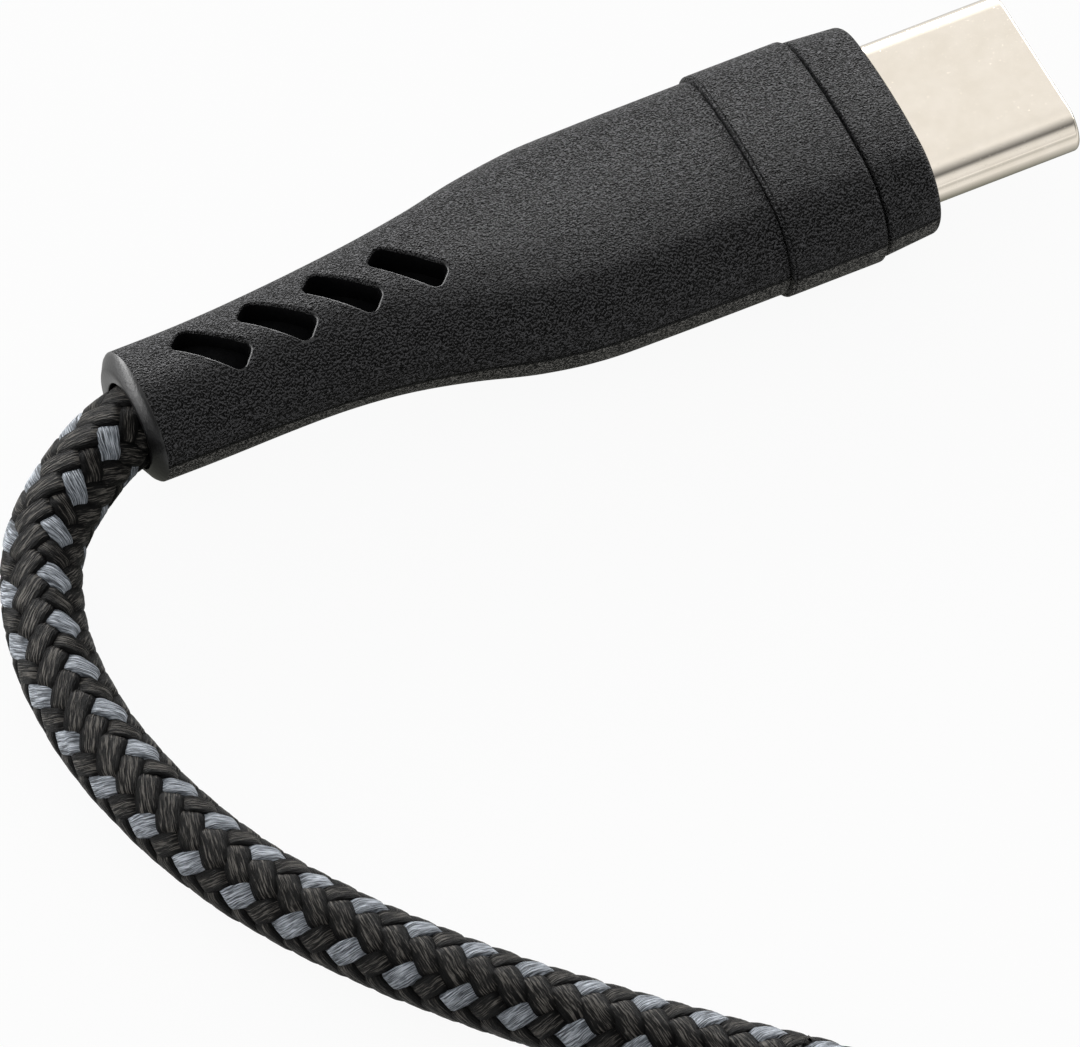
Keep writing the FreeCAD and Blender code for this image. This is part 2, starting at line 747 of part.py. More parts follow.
def make_cores(end, name, diameter, places, height):
    """Insulated cores from the cord's cut end up to the board, at a height there, each a gentle S."""
    body = add_body(end + "_" + name)
    pad_height = height
    face_height = (diameter / 2 + S.core_apart / 2) * math.copysign(1, height.value)
    start = cord_face
    bend = cord_face + S.core_lead
    level = board_rear - S.core_level
    finish = board_rear + S.core_pad
    for i, place in enumerate(places):
        path = add_sketch(body, "path%d" % i, "XZ_Plane", -place)
        points = [(start, face_height), (bend, face_height), (level, pad_height), (finish, pad_height)]
        first = path.GeometryCount
        for j in range(3):
            begin = Vector(points[j][0].value, points[j][1].value, 0)
            stop = Vector(points[j + 1][0].value, points[j + 1][1].value, 0)
            path.addGeometry(Part.LineSegment(begin, stop), False)
        for j in range(2):
            path.addConstraint(Sketcher.Constraint("Coincident", first + j, 2, first + j + 1, 1))
        for j in range(3):
            hold(path, "DistanceX", first + j, 1, points[j][0])
            hold(path, "DistanceY", first + j, 1, points[j][1])
        hold(path, "DistanceX", first + 2, 2, points[3][0])
        hold(path, "DistanceY", first + 2, 2, points[3][1])
        round_off = add_sketch(body, "profile%d" % i, "YZ_Plane", start)
        draw_circle(round_off, diameter, place, face_height)
        pipe = body.newObject("PartDesign::AdditivePipe", body.Label + "_core%d" % i)
        pipe.Profile = round_off
        pipe.Spine = (path, ["Edge1", "Edge2", "Edge3"])
        pipe.Transition = "Right corner"
        body.Tip = pipe
        doc.recompute()
    return body


def make_crimp(end):
    body = add_body(end + "_crimp_ring")
    ring = add_sketch(body, "ring", "YZ_Plane", cord_face)
    draw_circle(ring, S.cord_diameter + S.fit_gap * 2 + S.crimp_wall * 2)
    draw_circle(ring, S.cord_diameter + S.fit_gap * 2)
    add_pad(body, ring, S.crimp_length, back=True)
    return body


def make_cord_root(end):
    """The cord inside the mouldings, from its cut end to the mouth of the strain relief."""
    body = add_body(end + "_cord_root")
    section = add_sketch(body, "section", "YZ_Plane", cord_face)
    draw_circle(section, S.cord_diameter)
    add_pad(body, section, cord_face - recess_front, back=True)
    return body


def make_inner_mould(end):
    """Hard inner mould: a block round the shield and the crimp, then a sleeve on the cord."""
    body = add_body(end + "_inner_mould")
    block = add_sketch(body, "block", "YZ_Plane", core_front)
    draw_stadium(block, core_width, core_thick)
    add_pad(body, block, S.core_block, back=True)
    sleeve = add_sketch(body, "sleeve", "YZ_Plane", core_rear)
    draw_circle(sleeve, sleeve_diameter)
    add_pad(body, sleeve, core_rear - sleeve_rear, back=True)
    shell = add_sketch(body, "shell_bore", "YZ_Plane", core_front)
    draw_stadium(shell, S.shell_width + S.fit_gap * 2, S.shell_height + S.fit_gap * 2)
    add_pocket(body, shell, core_front - can_rear)
    can = add_sketch(body, "shield_bore", "YZ_Plane", can_front + S.fit_gap)
    wider = S.can_wall * 2 + S.fit_gap * 4
    draw_stadium(can, S.shell_width + wider, S.shell_height + wider)
    add_pocket(body, can, S.can_length + S.fit_gap * 2)
    crimp = add_sketch(body, "crimp_bore", "YZ_Plane", can_rear)
    draw_circle(crimp, S.cord_diameter + S.fit_gap * 4 + S.crimp_wall * 2)
    add_pocket(body, crimp, S.crimp_length + S.fit_gap * 2)
    bore = add_sketch(body, "cord_bore", "YZ_Plane", can_rear)
    draw_circle(bore, S.cord_diameter + S.fit_gap * 2)
    add_pocket(body, bore)
    return body


def cut_core_bore(body, front, rear):
    """Room for the inner mould's block between two stations."""
    bore = add_sketch(body, "core_bore", "YZ_Plane", front)
    draw_stadium(bore, core_width + S.fit_gap * 2, core_thick + S.fit_gap * 2)
    add_pocket(body, bore, front - rear)


def rounded_end(body, name, station, width, thickness, radius, backwards):
    """Sections of a rounded end face, stepped by 30 degrees, from the face to the full outline."""
    sections = []
    for angle in (0, 30, 60, 90):
        along = radius * (1 - math.cos(math.radians(angle)))
        inset = radius * (2 * (1 - math.sin(math.radians(angle))))
        place = station - along if backwards else station + along
        section = add_sketch(body, name + str(angle), "YZ_Plane", place)
        draw_oval(section, width - inset, thickness - inset)
        sections.append(section)
    return sections


def make_nose(end):
    body = add_body(end + "_nose_cap")
    width, thickness = nose_front_width, nose_front_thick
    sections = rounded_end(body, "front", nose_front, width, thickness, S.nose_round, True)
    rear = add_sketch(body, "rear", "YZ_Plane", nose_rear)
    draw_oval(rear, nose_rear_width, nose_rear_thick)
    add_loft(body, sections + [rear], "wall", ruled=True)
    cut_core_bore(body, core_front + S.fit_gap, nose_rear)
    window = add_sketch(body, "shell_window", "YZ_Plane", nose_front)
    draw_stadium(window, S.shell_width + S.fit_gap * 2, S.shell_height + S.fit_gap * 2)
    add_pocket(body, window)
    return body


def make_band(end):
    body = add_body(end + "_middle_band")
    width, thickness = band_width, band_thick
    front = rounded_end(body, "front", band_front, width, thickness, S.band_round, True)
    rear = rounded_end(body, "rear", band_rear, width, thickness, S.band_round, False)
    add_loft(body, front + rear[::-1], "wall", ruled=True)
    cut_core_bore(body, band_front, band_rear)
    return body


def make_boot(end):
    """Grip that narrows into the strain relief, with four slanted slots through it."""
    body = add_body(end + "_grip_boot")
    sections = []
    step = (S.boot_length - S.boot_bevel) / (len(GRIP_WIDTHS) - 1)
    for i, (wide, thick) in enumerate(zip(GRIP_WIDTHS, GRIP_THICKNESSES)):
        section = add_sketch(body, "section%d" % i, "YZ_Plane", boot_front - step * i)
        draw_oval(
            section,
            boot_end_width + (boot_front_width - boot_end_width) * wide,
            boot_end_thick + (boot_front_thick - boot_end_thick) * thick,
        )
        sections.append(section)
    add_loft(body, sections, "taper", ruled=True)
    rim = add_sketch(body, "bevel_start", "YZ_Plane", boot_rear + S.boot_bevel)
    draw_oval(rim, boot_end_width, boot_end_thick)
    edge = add_sketch(body, "bevel_end", "YZ_Plane", boot_rear)
    draw_oval(edge, boot_end_width - S.boot_bevel * 2, boot_end_thick - S.boot_bevel * 2)
    add_loft(body, [rim, edge], "bevel", ruled=True)
    cut_core_bore(body, boot_front, core_rear - S.fit_gap)
    bore = add_sketch(body, "sleeve_bore", "YZ_Plane", boot_front)
    draw_circle(bore, sleeve_diameter + S.fit_gap * 2)
    add_pocket(body, bore)
    recess = add_sketch(body, "recess", "YZ_Plane", boot_rear)
    draw_circle(recess, recess_diameter)
    add_pocket(body, recess, S.recess_depth, back=True)

    slot = add_sketch(body, "slot", "XY_Plane")
    bind(slot, "AttachmentOffset.Base.x", boot_rear + S.slot_first)
    bind(slot, "AttachmentOffset.Rotation.Angle", -S.slot_slant)
    draw_box(slot, S.slot_long / -2, S.slot_long / 2, S.slot_wide / -2, S.slot_wide / 2)
    cut = add_pocket(body, slot, both=True)
    row = body.newObject("PartDesign::LinearPattern", body.Label + "_slots")
    row.Originals = [cut]
    row.Direction = (plane_of(body, "X_Axis"), [""])
    row.Mode = "Spacing"
    bind(row, "Offset", S.slot_pitch)
    row.Occurrences = 4
    before = body.Shape.Volume
    body.Tip = row
    doc.recompute()
    if not body.Shape.Volume < before - 1.0:
        raise RuntimeError("the slots were not cut")
    return body


def make_plug(end):
    over_board = (S.board_thick + S.shell_height + S.fit_gap * 2) / 4
    on_board = (S.board_thick + S.signal_core) / 2 + S.fit_gap
    power = [-S.power_spread, S.power_spread]
    signal = [-S.signal_spread, ZERO, S.signal_spread]
    return [
        make_shell(end),
        make_housing(end),
        make_contacts(end, "contacts_upper", UPPER_PINS, 1),
        make_contacts(end, "contacts_lower", LOWER_PINS, -1),
        make_latch_plate(end),
        make_ground_spring(end, "ground_spring_top", 1),
        make_ground_spring(end, "ground_spring_bottom", -1),
        make_board(end),
        make_board_parts(end),
        make_can_half(end, "shield_can_upper", 1),
        make_can_half(end, "shield_can_lower", -1),
        make_cores(end, "power_cores", S.power_core, power, over_board),
        make_cores(end, "signal_cores", S.signal_core, signal, -on_board),
        make_crimp(end),
        make_cord_root(end),
        make_inner_mould(end),
        make_nose(end),
        make_band(end),
        make_boot(end),
    ]


# Cord: straight runs joined by tangent arcs


def unit(vector):
    return vector / vector.Length


def rounded_route(points, name):
    """Edges through the route: each corner's arc is as large as its two runs allow."""
    edges = []
    radii = []
    last = points[0]
    for before, corner, after in zip(points, points[1:], points[2:]):
        back = unit(before - corner)
        ahead = unit(after - corner)
        half_turn = (math.pi - back.getAngle(ahead)) / 2
        cut = 0.45 * min((before - corner).Length, (after - corner).Length)
        radius = cut / math.tan(half_turn)
        radii.append(radius)
        begin = corner + back * cut
        end = corner + ahead * cut
        to_middle = radius / math.cos(half_turn) - radius
        middle = corner + unit(back + ahead) * to_middle
        edges.append(Part.LineSegment(last, begin).toShape())
        edges.append(Part.Arc(begin, middle, end).toShape())
        last = end
    edges.append(Part.LineSegment(last, points[-1]).toShape())
    print(name, "radii", [round(r, 1) for r in radii])
    return edges


def tangent_arc(start, tangent, end):
    """The arc from start along tangent to end."""
    chord = end - start
    side = chord - tangent * chord.dot(tangent)
    if side.Length < 1e-7:
        return Part.LineSegment(start, end)
    side = unit(side)
    radius = chord.Length ** 2 / (2 * chord.dot(side))
    centre = start + side * radius
    middle = centre + unit((start + end) / 2 - centre) * radius
    return Part.Arc(start, middle, end)


def biarc(start, start_way, end, end_way):
    """Two arcs that leave start and reach end in the given directions and meet smoothly."""
    chord = end - start
    both = start_way + end_way
    slack = 2 * (1 - start_way.dot(end_way))
    root = math.sqrt(chord.dot(both) ** 2 + slack * chord.dot(chord))
    reach = (root - chord.dot(both)) / slack
    joint = ((start + start_way * reach) + (end - end_way * reach)) / 2
    joint_way = unit((end - end_way * reach) - (start + start_way * reach))
    return [tangent_arc(start, start_way, joint), tangent_arc(joint, joint_way, end)]


def smooth_share(share):
    share = min(max(share, 0.0), 1.0)
    return share * share * (3 - 2 * share)


cord = S.cord_diameter.value
pitch = cord + S.turn_gap.value
lying = cord / 2
level_one = S.tie_thickness.value + S.tie_slack.value + cord / 2
level_two = level_one + pitch
entry_way = math.radians(COIL_HEADING)
coil_centre = Vector(
    COIL_ENTRY[0] + S.coil_radius.value * math.sin(entry_way),
    COIL_ENTRY[1] - S.coil_radius.value * math.cos(entry_way),
    0,
)


def coil_point(turn):
    """Centre line of the coil after so many turns: in on the lower layer, out on the upper one."""
    from_middle = abs(turn - TURNS_IN)
    climb = 0.25
    if from_middle < climb:
        from_middle = (from_middle ** 2 / climb + climb) / 2
    radius = S.coil_radius.value - pitch * (TURNS_IN - from_middle)
    angle = entry_way + math.pi / 2 - 2 * math.pi * turn
    rise = smooth_share((turn - TURNS_IN + climb) / (2 * climb))
    return coil_centre + Vector(
        radius * math.cos(angle),
        radius * math.sin(angle),
        level_one + (level_two - level_one) * rise,
    )


def coil_way(turn):
    step = 1e-4
    before = coil_point(max(turn - step, 0.0))
    after = coil_point(min(turn + step, TURNS))
    return unit(after - before)


def height_of(share):
    return lying + share * (axis_height.value - lying)


def make_coil():
    """One unbroken tube: two layers of three turns, with a straight end of one diameter each."""
    turns = [i / 4 for i in range(int(TURNS * 4) + 1)]
    first = coil_point(0.0)
    last = coil_point(TURNS)
    first_way = coil_way(0.0)
    last_way = coil_way(TURNS)
    edges = [Part.LineSegment(first - first_way * cord, first).toShape()]
    for begin, end in zip(turns, turns[1:]):
        arcs = biarc(coil_point(begin), coil_way(begin), coil_point(end), coil_way(end))
        edges += [arc.toShape() for arc in arcs]
    edges.append(Part.LineSegment(last, last + last_way * cord).toShape())
    return edges, first - first_way * cord, last + last_way * cord


def tube(label, edges):
    """A tube of many flat sides along the edges, as a feature of the document."""
    path = Part.Wire(edges)
    start = path.Edges[0].valueAt(path.Edges[0].FirstParameter)
    way = path.Edges[0].tangentAt(path.Edges[0].FirstParameter)
    side = unit(way.cross(Vector(0, 0, 1)))
    up = side.cross(way)
    corners = []
    for i in range(CORD_SIDES + 1):
        angle = 2 * math.pi * i / CORD_SIDES
        corners.append(start + (side * math.cos(angle) + up * math.sin(angle)) * (cord / 2))
    section = Part.makePolygon(corners)
    solid = path.makePipeShell([section], True, False)
    feature = doc.addObject("Part::Feature", label)
    feature.Shape = solid
    feature.Label = label
    feature.Placement = Placement()
    expected = CORD_SIDES * cord * cord / 8 * math.sin(2 * math.pi / CORD_SIDES) * path.Length
    print(label, "length %.1f, volume %.1f of %.1f" % (path.Length, solid.Volume, expected))
    if abs(solid.Volume / expected - 1) > 0.01:
        raise RuntimeError(label + " has the wrong volume")
    return feature, path.Length


def least_gap(edges):
    """Least distance of the tube to itself, between points at least half a turn apart along it."""
    points = []
    for edge in edges:
        points += edge.discretize(max(3, int(edge.Length) + 1))[:-1]
    half_turn = int(math.pi * (S.coil_radius.value - pitch * TURNS_IN))
    gaps = []
    for i in range(0, len(points), 2):
        for other in points[i + half_turn :]:
            gaps.append((points[i] - other).Length)
    print("least gap of the coil to itself %.2f" % (min(gaps) - cord))
    return min(gaps) - cord


def make_tie():
    """Strap closed round the coil's section, its end folded over its own side."""
    body = add_body("cord_tie")
    middle_turns = 0.5
    spread = (S.cord_diameter + S.turn_gap) * 2 + S.cord_diameter
    sag = S.tie_width * S.tie_width / (S.coil_radius * 4)
    wide = spread + sag + S.tie_slack * 3 + S.tie_thickness * 2
    tall = S.cord_diameter * 2 + S.turn_gap + S.tie_slack * 2 + S.tie_thickness * 2
    ring = add_sketch(body, "outside", "XZ_Plane")
    draw_rounded_box(ring, wide, tall, S.cord_diameter / 2)
    add_pad(body, ring, S.tie_width, both=True)
    hollow = add_sketch(body, "inside", "XZ_Plane")
    draw_rounded_box(
        hollow,
        wide - S.tie_thickness * 2,
        tall - S.tie_thickness * 2,
        S.cord_diameter / 2 - S.tie_thickness,
    )
    add_pocket(body, hollow, both=True)
    end = add_sketch(body, "closed_end", "XZ_Plane")
    draw_box(end, wide / 2, wide / 2 + S.tie_thickness, S.tie_overlap / -2, S.tie_overlap / 2)
    add_pad(body, end, S.tie_width, both=True)

    outer_edge = S.coil_radius - (S.cord_diameter + S.turn_gap) / 2 + S.cord_diameter / 2
    centre_out = outer_edge + S.tie_slack + S.tie_thickness - wide / 2
    angle = COIL_HEADING + 90 - 360 * middle_turns
    out_x = math.cos(math.radians(angle))
    out_y = math.sin(math.radians(angle))
    entry_x = math.sin(entry_way)
    entry_y = -math.cos(entry_way)
    bind(body, "Placement.Base.x", S.coil_radius * entry_x + COIL_ENTRY[0] + centre_out * out_x)
    bind(body, "Placement.Base.y", S.coil_radius * entry_y + COIL_ENTRY[1] + centre_out * out_y)
    bind(body, "Placement.Base.z", tall / 2)
    body.Placement = Placement(body.Placement.Base, Rotation(Vector(0, 0, 1), angle))
    return body


# The whole cable

near = make_plug("near")
for piece in near:
    bind(piece, "Placement.Base.x", plug_middle)
    bind(piece, "Placement.Base.z", axis_height)

far = make_plug("far")
far_x, far_y, far_angle = FAR_PLUG
for piece in far:
    piece.Placement = Placement(Vector(0, 0, 0), Rotation(Vector(0, 0, 1), far_angle))
    bind(piece, "Placement.Base.x", plug_middle * math.cos(math.radians(far_angle)) + far_x)
    bind(piece, "Placement.Base.y", plug_middle * math.sin(math.radians(far_angle)) + far_y)
    bind(piece, "Placement.Base.z", axis_height)

coil_edges, coil_start, coil_end = make_coil()
root_mouth = value_of(recess_front + plug_middle)
lead_points = [Vector(root_mouth, 0, axis_height.value)]
lead_points += [Vector(x, y, height_of(share)) for x, y, share in LEAD_ROUTE]
lead_points.append(coil_start)
tail_points = [coil_end]
for x, y, share in TAIL_ROUTE:
    base = level_two if share > 0.5 else axis_height.value
    tail_points.append(Vector(x, y, lying + share * (base - lying)))
tail_points.append(
    Vector(
        far_x + root_mouth * math.cos(math.radians(far_angle)),
        far_y + root_mouth * math.sin(math.radians(far_angle)),
        axis_height.value,
    )
)
lead, lead_length = tube("cord_lead", rounded_route(lead_points, "lead"))
coil, coil_length = tube("cord_coil", coil_edges)
tail, tail_length = tube("cord_tail", rounded_route(tail_points, "tail"))
gap = least_gap(coil_edges)
if gap < 0.4:
    raise RuntimeError("the turns of the coil lie too close")
tie = make_tie()
plug_length = -boot_rear.value
print("cable %.0f mm over all" % (lead_length + coil_length + tail_length + 2 * plug_length))

doc.recompute()

pieces = near + far + [lead, coil, tail, tie]
failed = [o.Label for o in doc.Objects if "Invalid" in o.State or "Error" in o.State]
if failed:
    raise RuntimeError("not built: " + ", ".join(failed))
for piece in pieces:
    if piece.Shape.isNull() or not piece.Shape.isValid() or not piece.Shape.Solids:
        raise RuntimeError("no valid solid in " + piece.Label)

os.makedirs("parts", exist_ok=True)
for piece in pieces:
    piece.Shape.exportStep("parts/%s.step" % piece.Label)
print(len(pieces), "pieces")
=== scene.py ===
import math

import bmesh
import bpy
import numpy as np
from mathutils import Matrix, Vector


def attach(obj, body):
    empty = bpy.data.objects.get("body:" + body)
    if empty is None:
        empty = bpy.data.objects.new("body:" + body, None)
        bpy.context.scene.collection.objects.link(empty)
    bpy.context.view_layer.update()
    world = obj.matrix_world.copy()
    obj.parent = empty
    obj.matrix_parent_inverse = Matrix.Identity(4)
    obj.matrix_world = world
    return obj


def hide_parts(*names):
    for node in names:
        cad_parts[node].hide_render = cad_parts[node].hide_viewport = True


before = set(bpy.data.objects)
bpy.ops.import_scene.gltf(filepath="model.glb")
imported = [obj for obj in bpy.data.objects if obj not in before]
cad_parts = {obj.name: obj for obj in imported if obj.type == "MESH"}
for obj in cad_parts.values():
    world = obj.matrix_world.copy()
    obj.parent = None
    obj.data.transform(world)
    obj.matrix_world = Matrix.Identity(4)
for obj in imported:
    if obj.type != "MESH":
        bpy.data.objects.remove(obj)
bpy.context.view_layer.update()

MM = 0.001


# Sizes, in millimetres. Along a plug, zero is its mouth and the cord lies on the minus side.

PLUG_LENGTH = 41.3
AXIS_HEIGHT = 3.15
SHELL = (8.25, 2.40)
SHELL_WALL = 0.30
SHELL_LIP = 0.22
SHELL_INNER_LIP = 0.06
SHELL_REAR = -11.5
NOSE_FRONT = -6.83
NOSE_REAR = -9.33
NOSE_FRONT_OVAL = (10.25, 5.85)
NOSE_REAR_OVAL = (10.6, 6.08)
NOSE_ROUND = 0.3
NOSE_POCKET = 0.5
SHELL_GAP = 0.04
BAND_FRONT = -9.48
BAND_REAR = -13.80
BAND_OVAL = (10.9, 6.3)
BAND_ROUND = 0.16
BAND_REAR_ROUND = 0.08
# Fine line near the band's rear edge: its place from that edge, half width and depth.
BAND_GROOVE = (0.135, 0.045, 0.06)
BOOT_FRONT = -13.86
BOOT_REAR = -PLUG_LENGTH
BOOT_FRONT_OVAL = (10.46, 6.1)
BOOT_END_OVAL = (5.9, 5.4)
BOOT_ROUND = 0.44
# Bevel at the cord end: distance from the end and inset.
BOOT_BEVEL = [(0.40, 0.02), (0.29, 0.12), (0.03, 0.56), (0.0, 0.62)]
BOOT_LEAN = 0.24
BOOT_LEAN_LENGTH = 3.0
BOOT_STEPS = 150
# Upward bow of the neck: its middle, reach each way and rise.
BOW = (-31.0, 8.5, 0.38)
SEAM_ROUND = 0.08
CORE_OVAL = (9.3, 3.8)
# Radius of an oval's side arcs, as a share of its thickness.
SIDE_ROUND = 0.46
# Cord's opening: a rim with a rounded edge, then the wider recess behind it.
RIM = 3.74
RIM_FLARE = 0.16
RIM_EDGE = 0.10
RIM_DEPTH = 0.6
RECESS = 4.2
RECESS_DEPTH = 1.7
# The grip's taper: share of the way from the end oval to the front oval, front to end.
GRIP_WIDTHS = [1.0, 0.998, 0.99, 0.955, 0.765, 0.455, 0.22, 0.085, 0.024, 0.004, 0.0]
GRIP_THICKNESSES = [1.0, 0.93, 0.87, 0.79, 0.67, 0.53, 0.40, 0.28, 0.18, 0.09, 0.0]
SLOT_LONG = 3.2
SLOT_WIDE = 1.14
SLOT_CORNER = 0.33
SLOT_LIP = 0.16
SLOT_SHIFT = (-0.03, 0.06)
SLOT_SLANT = -45.0
SLOT_FIRST = BOOT_REAR + 3.74
SLOT_PITCH = 2.95
SLOTS = 4
SLOTTED_HALF_WIDTH = 1.9
SLOT_OVERSHOOT = 1.6
# Where the cord's middle passes the boot's end, across and up.
CORD_IN_NEAR_BOOT = (-0.226, -0.123)
CORD_IN_FAR_BOOT = (0.062, -0.351)

CORD = 3.5
CORE_RADIUS = 1.46
# Route points: x, y and the share of the height between lying on the table and the plug's axis.
LEAD_ROUTE = [
    (-18.90, 0.00, 1.00),
    (-21.35, -0.20, 0.90),
    (-23.62, -1.42, 0.60),
    (-25.83, -2.96, 0.25),
    (-27.30, -5.45, 0.04),
    (-28.40, -9.40, 0.00),
    (-28.25, -15.00, 0.00),
    (-26.30, -21.90, 0.00),
    (-21.65, -29.10, 0.00),
    (-15.20, -36.20, 0.00),
    (-7.35, -43.30, 0.00),
    (-1.20, -52.40, 0.00),
    (1.50, -63.10, 0.10),
    (0.35, -74.00, 0.35),
]
COIL_ENTRY = (-4.70, -84.30)
COIL_HEADING = math.radians(-116.0)
COIL_RADIUS = 26.0
COIL_MIDDLE = (
    COIL_ENTRY[0] + COIL_RADIUS * math.sin(COIL_HEADING),
    COIL_ENTRY[1] - COIL_RADIUS * math.cos(COIL_HEADING),
)
TURN_GAP = 0.5
TURNS_IN = 3.0
TURNS = 6.0
CLIMB_TURNS = 0.25
POINTS_PER_TURN = 16
TIE_THICKNESS = 0.6
TIE_SLACK = 0.1
TIE_WIDTH = 8.0
TAB_LENGTH = 5.5
TAB_STEPS = 12
TAB_END_DROP = 0.15
TAB_NARROWER = 0.98
TAIL_ROUTE = [
    (-8.20, -91.50, 0.95),
    (-7.80, -97.80, 0.72),
    (-4.40, -103.10, 0.45),
    (1.20, -106.00, 0.18),
    (7.50, -105.90, 0.02),
    (12.90, -102.60, 0.02),
    (16.00, -97.10, 0.32),
]
FAR_PLUG = (16.0, -73.65, 90.0)
PITCH = CORD + TURN_GAP
LYING = CORD / 2
LEVEL_ONE = TIE_THICKNESS + TIE_SLACK + CORD / 2
LEVEL_TWO = LEVEL_ONE + PITCH

NEAR_PLACE = Matrix.Translation((PLUG_LENGTH / 2, 0, AXIS_HEIGHT))
FAR_PLACE = (
    Matrix.Translation((FAR_PLUG[0], FAR_PLUG[1], AXIS_HEIGHT))
    @ Matrix.Rotation(math.radians(FAR_PLUG[2]), 4, "Z")
    @ Matrix.Translation((PLUG_LENGTH / 2, 0, 0))
)


# Camera: the photograph's viewing angle

LOOK_AT = Vector((-6.91, -9.93, 0.0)) * MM
CAMERA_DISTANCE = 889.7 * MM
ELEVATION = math.radians(52.5)
AZIMUTH = math.radians(-26.0)
LENS = 729.0

toward_camera = Vector(
    (
        math.sin(AZIMUTH) * math.cos(ELEVATION),
        -math.cos(AZIMUTH) * math.cos(ELEVATION),
        math.sin(ELEVATION),
    )
)
camera_data = bpy.data.cameras.new("camera")
camera_data.sensor_width = 36.0
camera_data.lens = LENS
camera_data.clip_start = 0.01
camera_data.clip_end = 20.0
camera = bpy.data.objects.new("camera", camera_data)
camera.location = LOOK_AT + toward_camera * CAMERA_DISTANCE
camera.rotation_euler = toward_camera.to_track_quat("Z", "Y").to_euler()
bpy.context.scene.collection.objects.link(camera)
bpy.context.scene.camera = camera


# Node helpers


def node(tree, kind, inputs=None, **settings):
    """A node with its settings; inputs are constants or sockets to link, by name or number."""
    made = tree.nodes.new(kind)
    for name, value in settings.items():
        setattr(made, name, value)
    for name, value in (inputs or {}).items():
        if isinstance(value, bpy.types.NodeSocket):
            tree.links.new(value, made.inputs[name])
        else:
            made.inputs[name].default_value = value
    return made


def new_material(name, colour, roughness, metallic=0.0, **sockets):
    """A Principled material; further sockets are named with underscores for spaces."""
    material = bpy.data.materials.new(name)
    material.use_nodes = True
    tree = material.node_tree
    shader = tree.nodes["Principled BSDF"]
    shader.inputs["Base Color"].default_value = (*colour, 1.0)
    shader.inputs["Roughness"].default_value = roughness
    shader.inputs["Metallic"].default_value = metallic
    for socket, value in sockets.items():
        shader.inputs[socket.replace("_", " ")].default_value = value
    material.diffuse_color = (*colour, 1.0)
    return material, tree, shader


def object_place(tree):
    return node(tree, "ShaderNodeTexCoord").outputs["Object"]


def noise(tree, place, scale, detail=2.0, roughness=0.5, output="Fac"):
    made = node(
        tree,
        "ShaderNodeTexNoise",
        {"Vector": place, "Scale": scale, "Detail": detail, "Roughness": roughness},
    )
    return made.outputs[output]


def math_node(tree, operation, first, second=0.0, clamp=False):
    made = node(tree, "ShaderNodeMath", {0: first, 1: second}, operation=operation)
    made.use_clamp = clamp
    return made.outputs[0]


def ramp(tree, factor, stops):
    made = node(tree, "ShaderNodeValToRGB", {"Fac": factor})
    elements = made.color_ramp.elements
    while len(elements) < len(stops):
        elements.new(0.5)
    for element, (position, colour) in zip(elements, stops):
        element.position = position
        element.color = (*colour, 1.0) if len(colour) == 3 else colour
    return made.outputs["Color"]


def remap(tree, value, low, high, start=0.0, stop=1.0):
    """Low where the value is start, high where it is stop, and a straight run between."""
    made = node(
        tree,
        "ShaderNodeMapRange",
        {"Value": value, "From Min": start, "From Max": stop, "To Min": low, "To Max": high},
    )
    return made.outputs["Result"]


def mix_colours(tree, factor, first, second):
    inputs = {"Factor": factor, "A": first, "B": second}
    return node(tree, "ShaderNodeMix", inputs, data_type="RGBA").outputs["Result"]


def bump(tree, shader, height, distance, strength=1.0, under=None):
    inputs = {"Height": height, "Distance": distance, "Strength": strength}
    if under is not None:
        inputs["Normal"] = under
    made = node(tree, "ShaderNodeBump", inputs)
    tree.links.new(made.outputs["Normal"], shader.inputs["Normal"])
    return made.outputs["Normal"]


# Materials, with lengths in metres

GRAIN_SCALE = 11500.0
GRAIN_SWIRL = 0.00012
GRAIN_LIT_SIDE = (-0.000014, -0.00005, -0.000042)
GRAIN_HEIGHT = 0.0006
# Shares of the grain's painted relief shade: the lit and shaded sides of its bumps, and its height.
GRAIN_PAINTED_SLOPE_SHADE = 0.7
GRAIN_HEIGHT_SHARE = 0.55
LINE_INNER, LINE_OUTER = 0.00006, 0.0001
LINE_DEPTH = 0.00006
HALVES_BLEND = 0.00008


